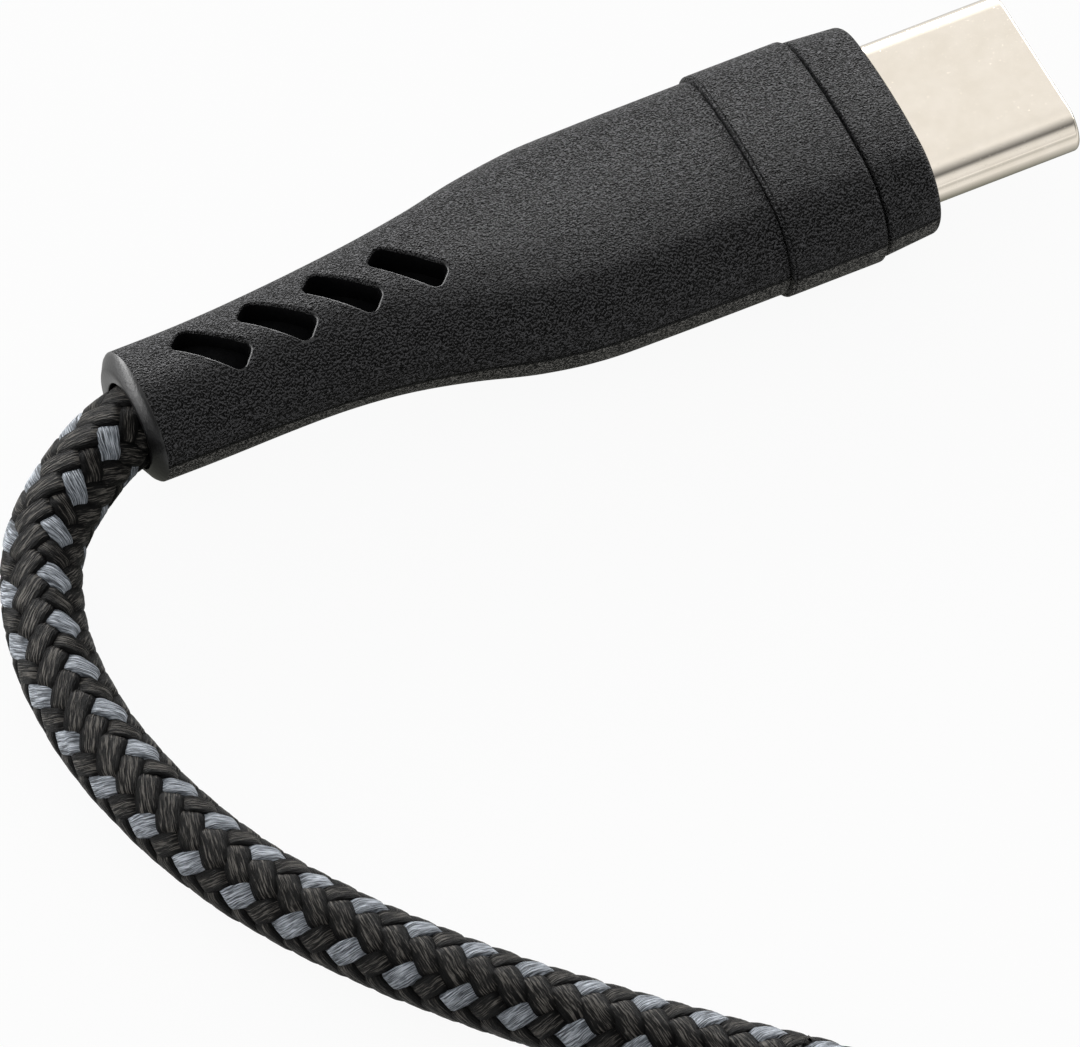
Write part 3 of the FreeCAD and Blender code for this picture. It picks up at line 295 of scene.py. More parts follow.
def grip_material():
    """Black moulded elastomer with a leathery grain and a thin parting line round its middle, with
    painted grain shade and highlights, and a painted floor reflection on its lower half.
    """
    material, tree, shader = new_material(
        "grip_elastomer",
        (0.012, 0.012, 0.013),
        0.4,
        Specular_IOR_Level=0.07,
        Sheen_Weight=0.05,
        Sheen_Roughness=0.45,
    )
    place = object_place(tree)
    swirl = noise(tree, place, 3200.0, 1.0, 0.5, "Color")
    bent = node(
        tree,
        "ShaderNodeVectorMath",
        {0: swirl, 1: (GRAIN_SWIRL,) * 3, 2: place},
        operation="MULTIPLY_ADD",
    ).outputs["Vector"]
    grain = noise(tree, bent, GRAIN_SCALE, 1.0, 0.5)
    # Painted shade: the grain less a copy shifted towards GRAIN_LIT_SIDE paints one side of each
    # bump lighter and the other darker, as if lit from there.
    beside = node(
        tree, "ShaderNodeVectorMath", {0: bent, 1: GRAIN_LIT_SIDE}, operation="ADD"
    ).outputs["Vector"]
    slope = math_node(tree, "SUBTRACT", grain, noise(tree, beside, GRAIN_SCALE, 1.0, 0.5))
    painted_slope_shade = math_node(tree, "MULTIPLY", slope, GRAIN_PAINTED_SLOPE_SHADE)
    raised = math_node(tree, "MULTIPLY", grain, GRAIN_HEIGHT_SHARE)
    raised = math_node(tree, "ADD", raised, (1 - GRAIN_HEIGHT_SHARE) / 2)
    relief = math_node(tree, "ADD", painted_slope_shade, raised)
    blotch = noise(tree, place, 420.0, 2.0)
    # Painted shade and highlights: pits painted dark, ridges painted light.
    upper = ramp(
        tree,
        relief,
        [
            (0.43, (0.0002, 0.0002, 0.0003)),
            (0.50, (0.006, 0.006, 0.0065)),
            (0.57, (0.108, 0.108, 0.112)),
        ],
    )
    # Below the parting line the same painted relief, painted lighter as a reflection of the floor.
    lower = ramp(
        tree,
        relief,
        [
            (0.42, (0.011, 0.0108, 0.0098)),
            (0.50, (0.085, 0.083, 0.075)),
            (0.58, (0.310, 0.302, 0.280)),
        ],
    )
    height = node(tree, "ShaderNodeSeparateXYZ", {"Vector": place}).outputs["Z"]
    over_line = math_node(tree, "SUBTRACT", height, AXIS_HEIGHT * MM)
    under = remap(tree, over_line, 1.0, 0.0, -HALVES_BLEND, 0.0)
    halves_with_painted_light = mix_colours(tree, under, upper, lower)
    off_line = math_node(tree, "ABSOLUTE", over_line)
    line = remap(tree, off_line, 0.0, 1.0, LINE_INNER, LINE_OUTER)
    colour = node(tree, "ShaderNodeVectorMath", {0: halves_with_painted_light, "Scale": line}, operation="SCALE")
    tree.links.new(colour.outputs["Vector"], shader.inputs["Base Color"])
    tree.links.new(remap(tree, blotch, 0.36, 0.44), shader.inputs["Roughness"])
    groove = bump(tree, shader, line, LINE_DEPTH)
    bump(tree, shader, grain, GRAIN_HEIGHT, under=groove)
    return material


def polished_grip_material():
    """The same elastomer where the tool was polished, at the cord end."""
    material, tree, shader = new_material(
        "polished_elastomer", (0.004, 0.004, 0.0045), 0.34, Specular_IOR_Level=0.62
    )
    place = object_place(tree)
    cloud = noise(tree, place, 1500.0, 2.0)
    tree.links.new(
        ramp(tree, cloud, [(0.3, (0.002, 0.002, 0.0022)), (0.7, (0.006, 0.006, 0.0065))]),
        shader.inputs["Base Color"],
    )
    bump(tree, shader, noise(tree, place, 6000.0, 2.0), 0.00002, 0.6)
    return material


def shadow_mould_material(name, roughness):
    """Near-black painted shade for the slots' walls, the cord end's recess and the inner moulding
    inside the slots.
    """
    material, tree, shader = new_material(
        name, (0.003, 0.003, 0.0035), roughness, Specular_IOR_Level=0.08
    )
    place = object_place(tree)
    speckle = noise(tree, place, 5000.0, 2.0)
    tree.links.new(
        ramp(tree, speckle, [(0.3, (0.002, 0.002, 0.0024)), (0.7, (0.0045, 0.0045, 0.005))]),
        shader.inputs["Base Color"],
    )
    bump(tree, shader, speckle, 0.00001, 0.4)
    return material


def shell_material():
    """Nickel-plated steel, slightly warm, with faint clouds and small pits."""
    material, tree, shader = new_material("plated_shell", (0.90, 0.82, 0.71), 0.15, 1.0)
    place = object_place(tree)
    stretched = node(
        tree, "ShaderNodeMapping", {"Vector": place, "Scale": (0.25, 1.0, 1.0)}
    ).outputs["Vector"]
    marks = noise(tree, stretched, 7000.0, 2.0, 0.6)
    cloud = noise(tree, place, 900.0, 2.0, 0.6)
    tree.links.new(
        ramp(tree, cloud, [(0.3, (0.87, 0.795, 0.685)), (0.7, (0.92, 0.845, 0.74))]),
        shader.inputs["Base Color"],
    )
    tree.links.new(remap(tree, marks, 0.06, 0.13), shader.inputs["Roughness"])
    speckle = noise(tree, place, 9000.0, 1.0)
    pits = remap(tree, speckle, 1.0, 0.0, 0.70, 0.76)
    drawn = bump(tree, shader, marks, 0.0000015, 0.4)
    bump(tree, shader, pits, 0.000004, 0.6, drawn)
    return material


def inner_metal_material(name, colour, roughness):
    material, tree, shader = new_material(name, colour, roughness, 1.0)
    place = object_place(tree)
    marks = noise(tree, place, 6000.0, 3.0)
    tree.links.new(remap(tree, marks, roughness * 0.7, roughness * 1.4), shader.inputs["Roughness"])
    bump(tree, shader, marks, 0.000004, 0.4)
    return material


def moulded_material(name, colour, roughness):
    material, tree, shader = new_material(name, colour, roughness)
    place = object_place(tree)
    speckle = noise(tree, place, 3500.0, 3.0)
    dark = tuple(c * 0.8 for c in colour)
    light = tuple(min(1.0, c * 1.25) for c in colour)
    tree.links.new(
        ramp(tree, speckle, [(0.3, dark), (0.7, light)]), shader.inputs["Base Color"]
    )
    bump(tree, shader, speckle, 0.00001, 0.3)
    return material


def board_material():
    """Solder mask with a faint pattern of traces under it."""
    material, tree, shader = new_material("solder_mask", (0.01, 0.07, 0.035), 0.3, Coat_Weight=0.5)
    place = object_place(tree)
    cells = node(
        tree, "ShaderNodeTexBrick", {"Vector": place, "Scale": 900.0, "Mortar Size": 0.03}
    ).outputs["Fac"]
    tree.links.new(
        ramp(tree, cells, [(0.0, (0.012, 0.08, 0.04)), (1.0, (0.03, 0.16, 0.08))]),
        shader.inputs["Base Color"],
    )
    bump(tree, shader, cells, 0.00002, 0.5)
    return material


FILAMENTS = 20
FILAMENT_SWAY = 0.11
FILAMENT_LEAN = 0.12


def yarn_material(name, dark, middle, light, glint, edges):
    """Loose filaments along a strand, whose UV map is across it (0 to 1) and along it in mm; the
    filaments' light lines are partly their own tone and partly painted highlights, and the strand's
    edges get painted shade.
    """
    material, tree, shader = new_material(name, middle, 0.5, Specular_IOR_Level=glint)
    uv = node(tree, "ShaderNodeUVMap", uv_map="strand").outputs["UV"]
    parts = node(tree, "ShaderNodeSeparateXYZ", {"Vector": uv})
    across, along = parts.outputs["X"], parts.outputs["Y"]
    sway = math_node(tree, "MULTIPLY", noise(tree, uv, 1.4, 2.0), FILAMENT_SWAY)
    lean = math_node(tree, "MULTIPLY", along, FILAMENT_LEAN)
    shifted = math_node(tree, "ADD", math_node(tree, "ADD", across, lean), sway)
    threads = node(
        tree,
        "ShaderNodeCombineXYZ",
        {
            "X": math_node(tree, "MULTIPLY", shifted, FILAMENTS),
            "Y": math_node(tree, "MULTIPLY", along, 1.1),
        },
    ).outputs["Vector"]
    coarse = noise(tree, threads, 1.0, 1.0, 0.5)
    fine = noise(tree, threads, 2.6, 2.0, 0.6)
    fibre = math_node(
        tree,
        "ADD",
        math_node(tree, "MULTIPLY", coarse, 0.6),
        math_node(tree, "MULTIPLY", fine, 0.4),
    )
    place = math_node(tree, "FRACT", across)
    off_middle = math_node(tree, "ABSOLUTE", math_node(tree, "SUBTRACT", place, 0.5))
    # Painted shade: darker towards the strand's edges, by the edges amount, where it meets its
    # neighbours.
    edge = math_node(tree, "MULTIPLY", math_node(tree, "POWER", off_middle, 3.0), edges)
    shade = math_node(tree, "SUBTRACT", fibre, edge)
    tree.links.new(
        ramp(tree, shade, [(0.40, dark), (0.49, middle), (0.60, light)]),
        shader.inputs["Base Color"],
    )
    tree.links.new(remap(tree, fine, 0.35, 0.6), shader.inputs["Roughness"])
    bump(tree, shader, shade, 0.00022)
    return material


def strap_material():
    """Brushed loop tape: a felted nap with a woven ground showing through."""
    material, tree, shader = new_material(
        "loop_tape", (0.018, 0.018, 0.02), 0.85, Sheen_Weight=0.35, Sheen_Roughness=0.5
    )
    place = object_place(tree)
    nap = noise(tree, place, 2600.0, 4.0, 0.7)
    loops = node(
        tree, "ShaderNodeTexVoronoi", {"Vector": place, "Scale": 1700.0}
    ).outputs["Distance"]
    tree.links.new(
        ramp(tree, nap, [(0.3, (0.010, 0.010, 0.011)), (0.75, (0.045, 0.045, 0.05))]),
        shader.inputs["Base Color"],
    )
    rough = math_node(tree, "MULTIPLY", nap, loops)
    bump(tree, shader, rough, 0.00025, 0.8)
    return material


materials = {
    "grip": grip_material(),
    "shell": shell_material(),
    "insulator": moulded_material("contact_housing_plastic", (0.010, 0.010, 0.011), 0.45),
    "contacts": inner_metal_material("gold_plate", (0.90, 0.66, 0.28), 0.18),
    "spring": inner_metal_material("spring_steel", (0.62, 0.61, 0.59), 0.28),
    "board": board_material(),
    "chips": moulded_material("chip_resin", (0.02, 0.02, 0.021), 0.4),
    "shield": inner_metal_material("tin_plate", (0.66, 0.66, 0.65), 0.3),
    "power": moulded_material("power_insulation", (0.42, 0.02, 0.015), 0.3),
    "signal": moulded_material("signal_insulation", (0.62, 0.62, 0.58), 0.3),
    "crimp": inner_metal_material("crimp_copper", (0.72, 0.42, 0.26), 0.3),
    "grip_end": polished_grip_material(),
    "slot_wall": shadow_mould_material("slot_wall", 0.8),
    "core": shadow_mould_material("inner_mould_painted_shade", 0.9),
    # Yarns: glint is the specular level, edges the depth of the painted shade at each strand's
    # edges.
    "black_yarn": yarn_material(
        "black_yarn",
        (0.0004, 0.0004, 0.0004),
        (0.006, 0.0056, 0.0052),
        (0.140, 0.131, 0.118),
        glint=0.12,
        edges=3.6,
    ),
    "grey_yarn": yarn_material(
        "grey_yarn",
        (0.045, 0.051, 0.060),
        (0.215, 0.240, 0.270),
        (0.60, 0.64, 0.70),
        glint=0.3,
        edges=0.5,
    ),
    "cord_inside": moulded_material("cord_inside", (0.004, 0.0035, 0.003), 0.8),
    "strap": strap_material(),
}
NODE_MATERIALS = {
    "plug_shell": "shell",
    "contact_housing": "insulator",
    "contacts_upper": "contacts",
    "contacts_lower": "contacts",
    "latch_plate": "spring",
    "ground_spring_top": "spring",
    "ground_spring_bottom": "spring",
    "paddle_board": "board",
    "board_parts": "chips",
    "shield_can_upper": "shield",
    "shield_can_lower": "shield",
    "power_cores": "power",
    "signal_cores": "signal",
    "crimp_ring": "crimp",
    "cord_root": "cord_inside",
    "inner_mould": "core",
    "nose_cap": "grip",
    "middle_band": "grip",
    "grip_boot": "grip",
}


def dress(thing, material):
    thing.data.materials.clear()
    thing.data.materials.append(material)


for end in ("near", "far"):
    for part, material in NODE_MATERIALS.items():
        dress(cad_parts[end + "_" + part], materials[material])


# Lofted pieces of a plug, drawn in millimetres and placed in metres

AROUND = 144
EVENING = 1.7


def outline_angles():
    """Directions round a flat oval that give nearly even steps along it."""
    turn = np.linspace(0, 2 * math.pi, AROUND, endpoint=False)
    return np.arctan2(np.sin(turn), np.cos(turn) * EVENING)


ANGLES = outline_angles()


def oval_arcs(width, thickness):
    """Radius of the side arcs, how far out their middle is, and the same for the flat arcs."""
    side = thickness * SIDE_ROUND
    reach = width / 2 - side
    crown = (reach**2 + thickness**2 / 4 - side**2) / (thickness - 2 * side)
    return side, reach, crown, crown - thickness / 2


def oval_ring(x, width, thickness):
    """Four tangent arcs, as a ring of points at station x."""
    side, reach, crown, low = oval_arcs(width, thickness)
    c, s = np.abs(np.cos(ANGLES)), np.abs(np.sin(ANGLES))
    join = np.array((reach, 0.0)) + side * np.array((reach, low)) / (crown - side)
    on_side = np.arctan2(s, c) < math.atan2(join[1], join[0])
    to_side = reach * c + np.sqrt(np.maximum((reach * c) ** 2 - reach**2 + side**2, 0))
    to_crown = -low * s + np.sqrt(np.maximum((low * s) ** 2 - low**2 + crown**2, 0))
    radius = np.where(on_side, to_side, to_crown)
    return np.column_stack(
        (np.full(AROUND, x), radius * np.cos(ANGLES), radius * np.sin(ANGLES))
    )


def stadium_ring(x, width, height):
    """Two straight sides and two half rounds, as a ring of points at station x."""
    r = height / 2
    reach = width / 2 - r
    c, s = np.abs(np.cos(ANGLES)), np.abs(np.sin(ANGLES))
    to_round = reach * c + np.sqrt(np.maximum((reach * c) ** 2 - reach**2 + r**2, 0))
    on_round = np.arctan2(s, c) < math.atan2(r, reach)
    radius = np.where(on_round, to_round, r / np.maximum(s, 1e-9))
    return np.column_stack(
        (np.full(AROUND, x), radius * np.cos(ANGLES), radius * np.sin(ANGLES))
    )


def round_ring(x, diameter, middle=(0.0, 0.0)):
    radius = diameter / 2
    return np.column_stack(
        (
            np.full(AROUND, x),
            middle[0] + radius * np.cos(ANGLES),
            middle[1] + radius * np.sin(ANGLES),
        )
    )


def rounded_edge(ring, x, size, radius, inwards, steps=6):
    """Rings of an outer edge from the end face at x to the full outline."""
    rings = []
    for i in range(steps + 1):
        angle = math.pi / 2 * i / steps
        inset = 2 * radius * (1 - math.sin(angle))
        along = radius * (1 - math.cos(angle)) * inwards
        rings.append(ring(x + along, size[0] - inset, size[1] - inset))
    return rings


def ring_quads(rings, count, base=0, closed=False):
    """Quads between neighbouring rings of count points each."""
    quads = []
    for i in range(rings if closed else rings - 1):
        a, b = base + i * count, base + (i + 1) % rings * count
        for j in range(count):
            k = (j + 1) % count
            quads.append((a + j, a + k, b + k, b + j))
    return quads


def ring_caps(rings, count, base=0):
    """Flat ends on the first and the last ring."""
    last = base + (rings - 1) * count
    return [tuple(range(base, base + count))[::-1], tuple(range(last, last + count))]


def outward_mesh(name, points, faces):
    mesh = bpy.data.meshes.new(name)
    mesh.from_pydata(points, [], faces)
    shape = bmesh.new()
    shape.from_mesh(mesh)
    bmesh.ops.recalc_face_normals(shape, faces=shape.faces)
    shape.to_mesh(mesh)
    shape.free()
    return mesh


def mesh_from_rings(name, rings, capped=False):
    faces = ring_quads(len(rings), AROUND)
    if capped:
        faces += ring_caps(len(rings), AROUND)
    return outward_mesh(name, [tuple(point) for point in np.vstack(rings)], faces)


def add_piece(name, mesh, place, material, node_name, sharp=40.0):
    """Put a mesh drawn in millimetres where it belongs, in metres, on the object's body."""
    mesh.transform(Matrix.Scale(MM, 4) @ place)
    for polygon in mesh.polygons:
        polygon.use_smooth = True
    mesh.set_sharp_from_angle(angle=math.radians(sharp))
    piece = bpy.data.objects.new(name, mesh)
    bpy.context.scene.collection.objects.link(piece)
    mesh.materials.clear()
    mesh.materials.append(material)
    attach(piece, "root")
    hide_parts(node_name)
    return piece


def smooth_values(values, count):
    """A smooth curve through evenly spaced values, sampled at count places."""
    values = np.array(values)
    slopes = np.gradient(values)
    place = np.linspace(0, len(values) - 1, count)
    low = np.minimum(place.astype(int), len(values) - 2)
    t = place - low
    a, b, ma, mb = values[low], values[low + 1], slopes[low], slopes[low + 1]
    return (
        (2 * t**3 - 3 * t**2 + 1) * a
        + (t**3 - 2 * t**2 + t) * ma
        + (3 * t**2 - 2 * t**3) * b
        + (t**3 - t**2) * mb
    )


def slot_outline():
    """Rounded rectangle in even small steps, with outward normals."""
    places = []
    reach = (SLOT_LONG / 2 - SLOT_CORNER, SLOT_WIDE / 2 - SLOT_CORNER)
    for quarter, (u, v) in enumerate(((1, 1), (-1, 1), (-1, -1), (1, -1))):
        for i in range(7):
            angle = math.radians(90 * quarter + 15 * i)
            c, s = math.cos(angle), math.sin(angle)
            places.append((u * reach[0] + SLOT_CORNER * c, v * reach[1] + SLOT_CORNER * s, c, s))
        steps = 12 if quarter % 2 == 0 else 3
        run = -2 * u * reach[0] if quarter % 2 == 0 else 0.0
        rise = 0.0 if quarter % 2 == 0 else -2 * v * reach[1]
        last = places[-1]
        for i in range(1, steps):
            share = i / steps
            places.append((last[0] + run * share, last[1] + rise * share, last[2], last[3]))
    return places


BOOT_STRAIGHT = BOOT_FRONT - BOOT_REAR - BOOT_ROUND
BOOT_WIDE = smooth_values(GRIP_WIDTHS, BOOT_STEPS)
BOOT_THICK = smooth_values(GRIP_THICKNESSES, BOOT_STEPS)


def boot_size(place):
    """Width and thickness of the grip at a place counted in steps from its front."""
    wide = np.interp(place, range(BOOT_STEPS), BOOT_WIDE)
    thick = np.interp(place, range(BOOT_STEPS), BOOT_THICK)
    return (
        BOOT_END_OVAL[0] + (BOOT_FRONT_OVAL[0] - BOOT_END_OVAL[0]) * wide,
        BOOT_END_OVAL[1] + (BOOT_FRONT_OVAL[1] - BOOT_END_OVAL[1]) * thick,
    )


def boot_height(x, y):
    """How high the strain relief's surface is over the axis."""
    share = min(max((BOOT_FRONT - x) / BOOT_STRAIGHT, 0.0), 1.0)
    side, reach, crown, low = oval_arcs(*boot_size(share * (BOOT_STEPS - 1)))
    join = reach + side * reach / (crown - side)
    y = abs(y)
    if y <= join:
        return math.sqrt(crown**2 - y**2) - low
    return math.sqrt(max(side**2 - (y - reach) ** 2, 0.01))


def slot_cutter(x):
    """A slanted prism that flares at both faces of the grip, for the slot's rounded lip."""
    turn = math.radians(SLOT_SLANT)
    c, s = math.cos(turn), math.sin(turn)
    levels = [(0.0, 0.0)]
    for i in range(1, 5):
        angle = math.pi / 2 * i / 4
        levels.append((SLOT_LIP * math.sin(angle), SLOT_LIP * (1 - math.cos(angle))))
    rings = []
    outline = slot_outline()
    for side in (-1, 1):
        rows = []
        for rise, flare in levels + [(SLOT_OVERSHOOT, SLOT_LIP)]:
            ring = []
            for u, v, nu, nv in outline:
                at_x, at_y = x + u * c - v * s, u * s + v * c
                top = boot_height(at_x, at_y) - SLOT_LIP + rise
                far_u = u + nu * flare + SLOT_SHIFT[0]
                far_v = v + nv * flare + SLOT_SHIFT[1]
                ring.append((x + far_u * c - far_v * s, far_u * s + far_v * c, side * top))
            rows.append(ring)
        rings += rows[::-1] if side < 0 else rows
    points = [point for ring in rings for point in ring]
    size = (len(rings), len(outline))
    mesh = bpy.data.meshes.new("slot_cutter")
    mesh.from_pydata(points, [], ring_caps(*size) + ring_quads(*size))
    return mesh


def cut_away(mesh, cutters):
    """The mesh less the cutters."""
    body = bpy.data.objects.new("cut_body", mesh)
    bpy.context.scene.collection.objects.link(body)
    shape = bmesh.new()
    for cutter in cutters:
        shape.from_mesh(cutter)
    joined = bpy.data.meshes.new("cutters")
    shape.to_mesh(joined)
    shape.free()
    tool = bpy.data.objects.new("cut_tool", joined)
    bpy.context.scene.collection.objects.link(tool)
    change = body.modifiers.new("cut", "BOOLEAN")
    change.object = tool
    change.operation = "DIFFERENCE"
    change.solver = "EXACT"
    shown = body.evaluated_get(bpy.context.evaluated_depsgraph_get())
    result = bpy.data.meshes.new_from_object(shown)
    bpy.data.objects.remove(body)
    bpy.data.objects.remove(tool)
    return result


def boot_rings(cord_middle):
    rings = rounded_edge(oval_ring, BOOT_FRONT, BOOT_FRONT_OVAL, SEAM_ROUND, -1, 3)[:-1]
    for i in range(BOOT_STEPS):
        x = BOOT_FRONT - max(BOOT_STRAIGHT * i / (BOOT_STEPS - 1), SEAM_ROUND)
        rings.append(oval_ring(x, *boot_size(i)))
    for along, inset in BOOT_BEVEL:
        size = (BOOT_END_OVAL[0] - 2 * inset, BOOT_END_OVAL[1] - 2 * inset)
        rings.append(oval_ring(BOOT_REAR + along, *size))
    for i in range(5):
        angle = math.pi / 2 * i / 4
        rim = RIM + RIM_FLARE * (1 - math.sin(angle))
        x = BOOT_REAR + RIM_EDGE * (1 - math.cos(angle))
        rings.append(round_ring(x, rim, cord_middle))
    rings.append(round_ring(BOOT_REAR + RIM_DEPTH, RECESS))
    rings.append(round_ring(BOOT_REAR + RECESS_DEPTH, RECESS))
    return rings


def nose_rings():
    opening = (SHELL[0] + SHELL_GAP, SHELL[1] + SHELL_GAP)
    rings = [stadium_ring(NOSE_FRONT - NOSE_POCKET, *opening), stadium_ring(NOSE_FRONT, *opening)]
    rings += rounded_edge(oval_ring, NOSE_FRONT, NOSE_FRONT_OVAL, NOSE_ROUND, -1)
    rear = rounded_edge(oval_ring, NOSE_REAR, NOSE_REAR_OVAL, SEAM_ROUND, 1, 3)[::-1]
    return rings + rear + [stadium_ring(NOSE_REAR, *CORE_OVAL)]


def band_rings():
    rings = [stadium_ring(BAND_FRONT, *CORE_OVAL)]
    rings += rounded_edge(oval_ring, BAND_FRONT, BAND_OVAL, BAND_ROUND, -1, 4)
    back, wide, deep = BAND_GROOVE
    for along, drop in ((wide, 0.0), (wide / 4, deep), (-wide / 4, deep), (-wide, 0.0)):
        size = (BAND_OVAL[0] - 2 * drop, BAND_OVAL[1] - 2 * drop)
        rings.append(oval_ring(BAND_REAR + back + along, *size))
    rings += rounded_edge(oval_ring, BAND_REAR, BAND_OVAL, BAND_REAR_ROUND, 1, 4)[::-1]
    return rings + [stadium_ring(BAND_REAR, *CORE_OVAL)]


def shell_rings():
    inner = (SHELL[0] - 2 * SHELL_WALL, SHELL[1] - 2 * SHELL_WALL)
    rings = [stadium_ring(SHELL_REAR, *inner), stadium_ring(-SHELL_INNER_LIP, *inner)]
    for i in range(4):
        angle = math.pi / 2 * i / 3
        grow = 2 * SHELL_INNER_LIP * (1 - math.cos(angle))
        x = -SHELL_INNER_LIP * (1 - math.sin(angle))
        rings.append(stadium_ring(x, inner[0] + grow, inner[1] + grow))
    rings += rounded_edge(stadium_ring, 0.0, SHELL, SHELL_LIP, -1)
    return rings + [stadium_ring(SHELL_REAR, *SHELL), stadium_ring(SHELL_REAR, *inner)]


def on_lip(x, y):
    """Whether a place on the strain relief lies within the rounded lip of a slot."""
    turn = math.radians(SLOT_SLANT)
    c, s = math.cos(turn), math.sin(turn)
    for i in range(SLOTS):
        dx = x - SLOT_FIRST - SLOT_PITCH * i
        u = dx * c + y * s - SLOT_SHIFT[0]
        v = -dx * s + y * c - SLOT_SHIFT[1]
        past_u = max(abs(u) - SLOT_LONG / 2 + SLOT_CORNER, 0.0)
        past_v = max(abs(v) - SLOT_WIDE / 2 + SLOT_CORNER, 0.0)
        near_edge = v < 0 and u > SLOT_CORNER - SLOT_LONG / 2 or u > SLOT_LONG / 2 - SLOT_CORNER
        if near_edge and math.hypot(past_u, past_v) < SLOT_CORNER + SLOT_LIP * 0.75:
            return True
    return False


# Finishes of the grip's faces, in the order of its materials; SLOT_WALL is near-black painted
# shade.
GRAINED, SLOT_WALL, POLISHED = range(3)


def boot_finish(mesh):
    """The finish of each face: painted shade on the slots' walls and in the cord's recess; the
    slots' lips and the cord end polished.
    """
    finish = []
    slotted = (SLOT_FIRST - SLOT_LONG, SLOT_FIRST + SLOT_PITCH * (SLOTS - 1) + SLOT_LONG)
    for face in mesh.polygons:
        x, y, z = face.center
        upright = abs(face.normal.z) < 0.05 and abs(face.normal.x) > 0.1
        inward = y * face.normal.y + z * face.normal.z < 0 and x > BOOT_REAR + 0.04
        within = x < BOOT_REAR + RECESS_DEPTH + 0.1 and math.hypot(y, z) < RECESS / 2 + 0.1
        if within and (inward or x > BOOT_REAR + 0.3):
            finish.append(SLOT_WALL)
        elif x < BOOT_REAR + BOOT_ROUND:
            finish.append(POLISHED)
        elif slotted[0] < x < slotted[1] and abs(y) < SLOTTED_HALF_WIDTH and upright:
            finish.append(SLOT_WALL)
        elif slotted[0] < x < slotted[1] and on_lip(x, y):
            finish.append(POLISHED)
        else:
            finish.append(GRAINED)
    return finish


def make_plug(end, place, cord_middle):
    """The four pieces of a plug that show from outside, with the cord's place in the boot's end."""
    slots = [slot_cutter(SLOT_FIRST + SLOT_PITCH * i) for i in range(SLOTS)]
    boot = mesh_from_rings(end + "_boot", boot_rings(cord_middle), capped=True)
    boot = cut_away(boot, slots)
    finish = boot_finish(boot)
    middle, reach, rise = BOW
    for point in boot.vertices:
        share = min(abs(point.co.x - middle) / reach, 1.0)
        past = (BOOT_REAR + BOOT_LEAN_LENGTH - point.co.x) / BOOT_LEAN_LENGTH
        lean = BOOT_LEAN * min(max(past, 0.0), 1.0)
        side, height = point.co.y / BOOT_END_OVAL[0], point.co.z / BOOT_END_OVAL[1]
        point.co.x -= lean * (1 + side + height) / 2
        point.co.z += rise * math.cos(math.pi / 2 * share) ** 2
    grip, metal = materials["grip"], materials["shell"]
    nose = mesh_from_rings(end + "_nose", nose_rings())
    band = mesh_from_rings(end + "_band", band_rings())
    shell = mesh_from_rings(end + "_shell", shell_rings())
    moulding = add_piece(end + "_boot_moulding", boot, place, grip, end + "_grip_boot")
    boot.materials.append(materials["slot_wall"])
    boot.materials.append(materials["grip_end"])
    boot.polygons.foreach_set("material_index", finish)
    return [
        moulding,
        add_piece(end + "_nose_moulding", nose, place, grip, end + "_nose_cap"),
        add_piece(end + "_band_moulding", band, place, grip, end + "_middle_band"),
        add_piece(end + "_drawn_shell", shell, place, metal, end + "_plug_shell"),
    ]


make_plug("near", NEAR_PLACE, CORD_IN_NEAR_BOOT)
far_pieces = make_plug("far", FAR_PLACE, CORD_IN_FAR_BOOT)


# Cord: one smooth line from plug to plug


def coil_point(turn, widen=1.0):
    """Centre line of the coil: in on the lower layer, out on the upper one."""
    from_middle = abs(turn - TURNS_IN)
    if from_middle < CLIMB_TURNS:
        from_middle = (from_middle**2 / CLIMB_TURNS + CLIMB_TURNS) / 2
    radius = (COIL_RADIUS - PITCH * (TURNS_IN - from_middle)) * widen
    angle = COIL_HEADING + math.pi / 2 - 2 * math.pi * turn
    share = min(max((turn - TURNS_IN + CLIMB_TURNS) / (2 * CLIMB_TURNS), 0.0), 1.0)
    rise = share * share * (3 - 2 * share)
    return Vector(
        (
            COIL_MIDDLE[0] + radius * math.cos(angle),
            COIL_MIDDLE[1] + radius * math.sin(angle),
            LEVEL_ONE + (LEVEL_TWO - LEVEL_ONE) * rise,
        )
    )


def route_points():
    points = [Vector((x, y, LYING + z * (AXIS_HEIGHT - LYING))) for x, y, z in LEAD_ROUTE]
    begin = coil_point(0.0)
    begin_way = (coil_point(0.001) - begin).normalized()
    points.append(begin - begin_way * CORD)
    widen = 2 / (1 + math.cos(math.pi / POINTS_PER_TURN))
    steps = int(TURNS * POINTS_PER_TURN)
    for i in range(1, steps):
        points.append(coil_point(i / POINTS_PER_TURN, widen))
    end = coil_point(TURNS)
    end_way = (end - coil_point(TURNS - 0.001)).normalized()
    points.append(end + end_way * CORD)
    for x, y, share in TAIL_ROUTE:
        base = LEVEL_TWO if share > 0.5 else AXIS_HEIGHT
        points.append(Vector((x, y, LYING + share * (base - LYING))))
    points.append(FAR_PLACE @ Vector((BOOT_REAR + RECESS_DEPTH + 0.05, 0, 0)))
    return points


def add_route(name, points):
    curve = bpy.data.curves.new(name, "CURVE")
    curve.dimensions = "3D"
    curve.resolution_u = 24
    spline = curve.splines.new("NURBS")
    spline.points.add(len(points) - 1)
    for place, point in zip(spline.points, points):
        place.co = (*(point * MM), 1.0)
    spline.order_u = 3
    spline.use_endpoint_u = True
    thing = bpy.data.objects.new(name, curve)
    bpy.context.scene.collection.objects.link(thing)
    return thing


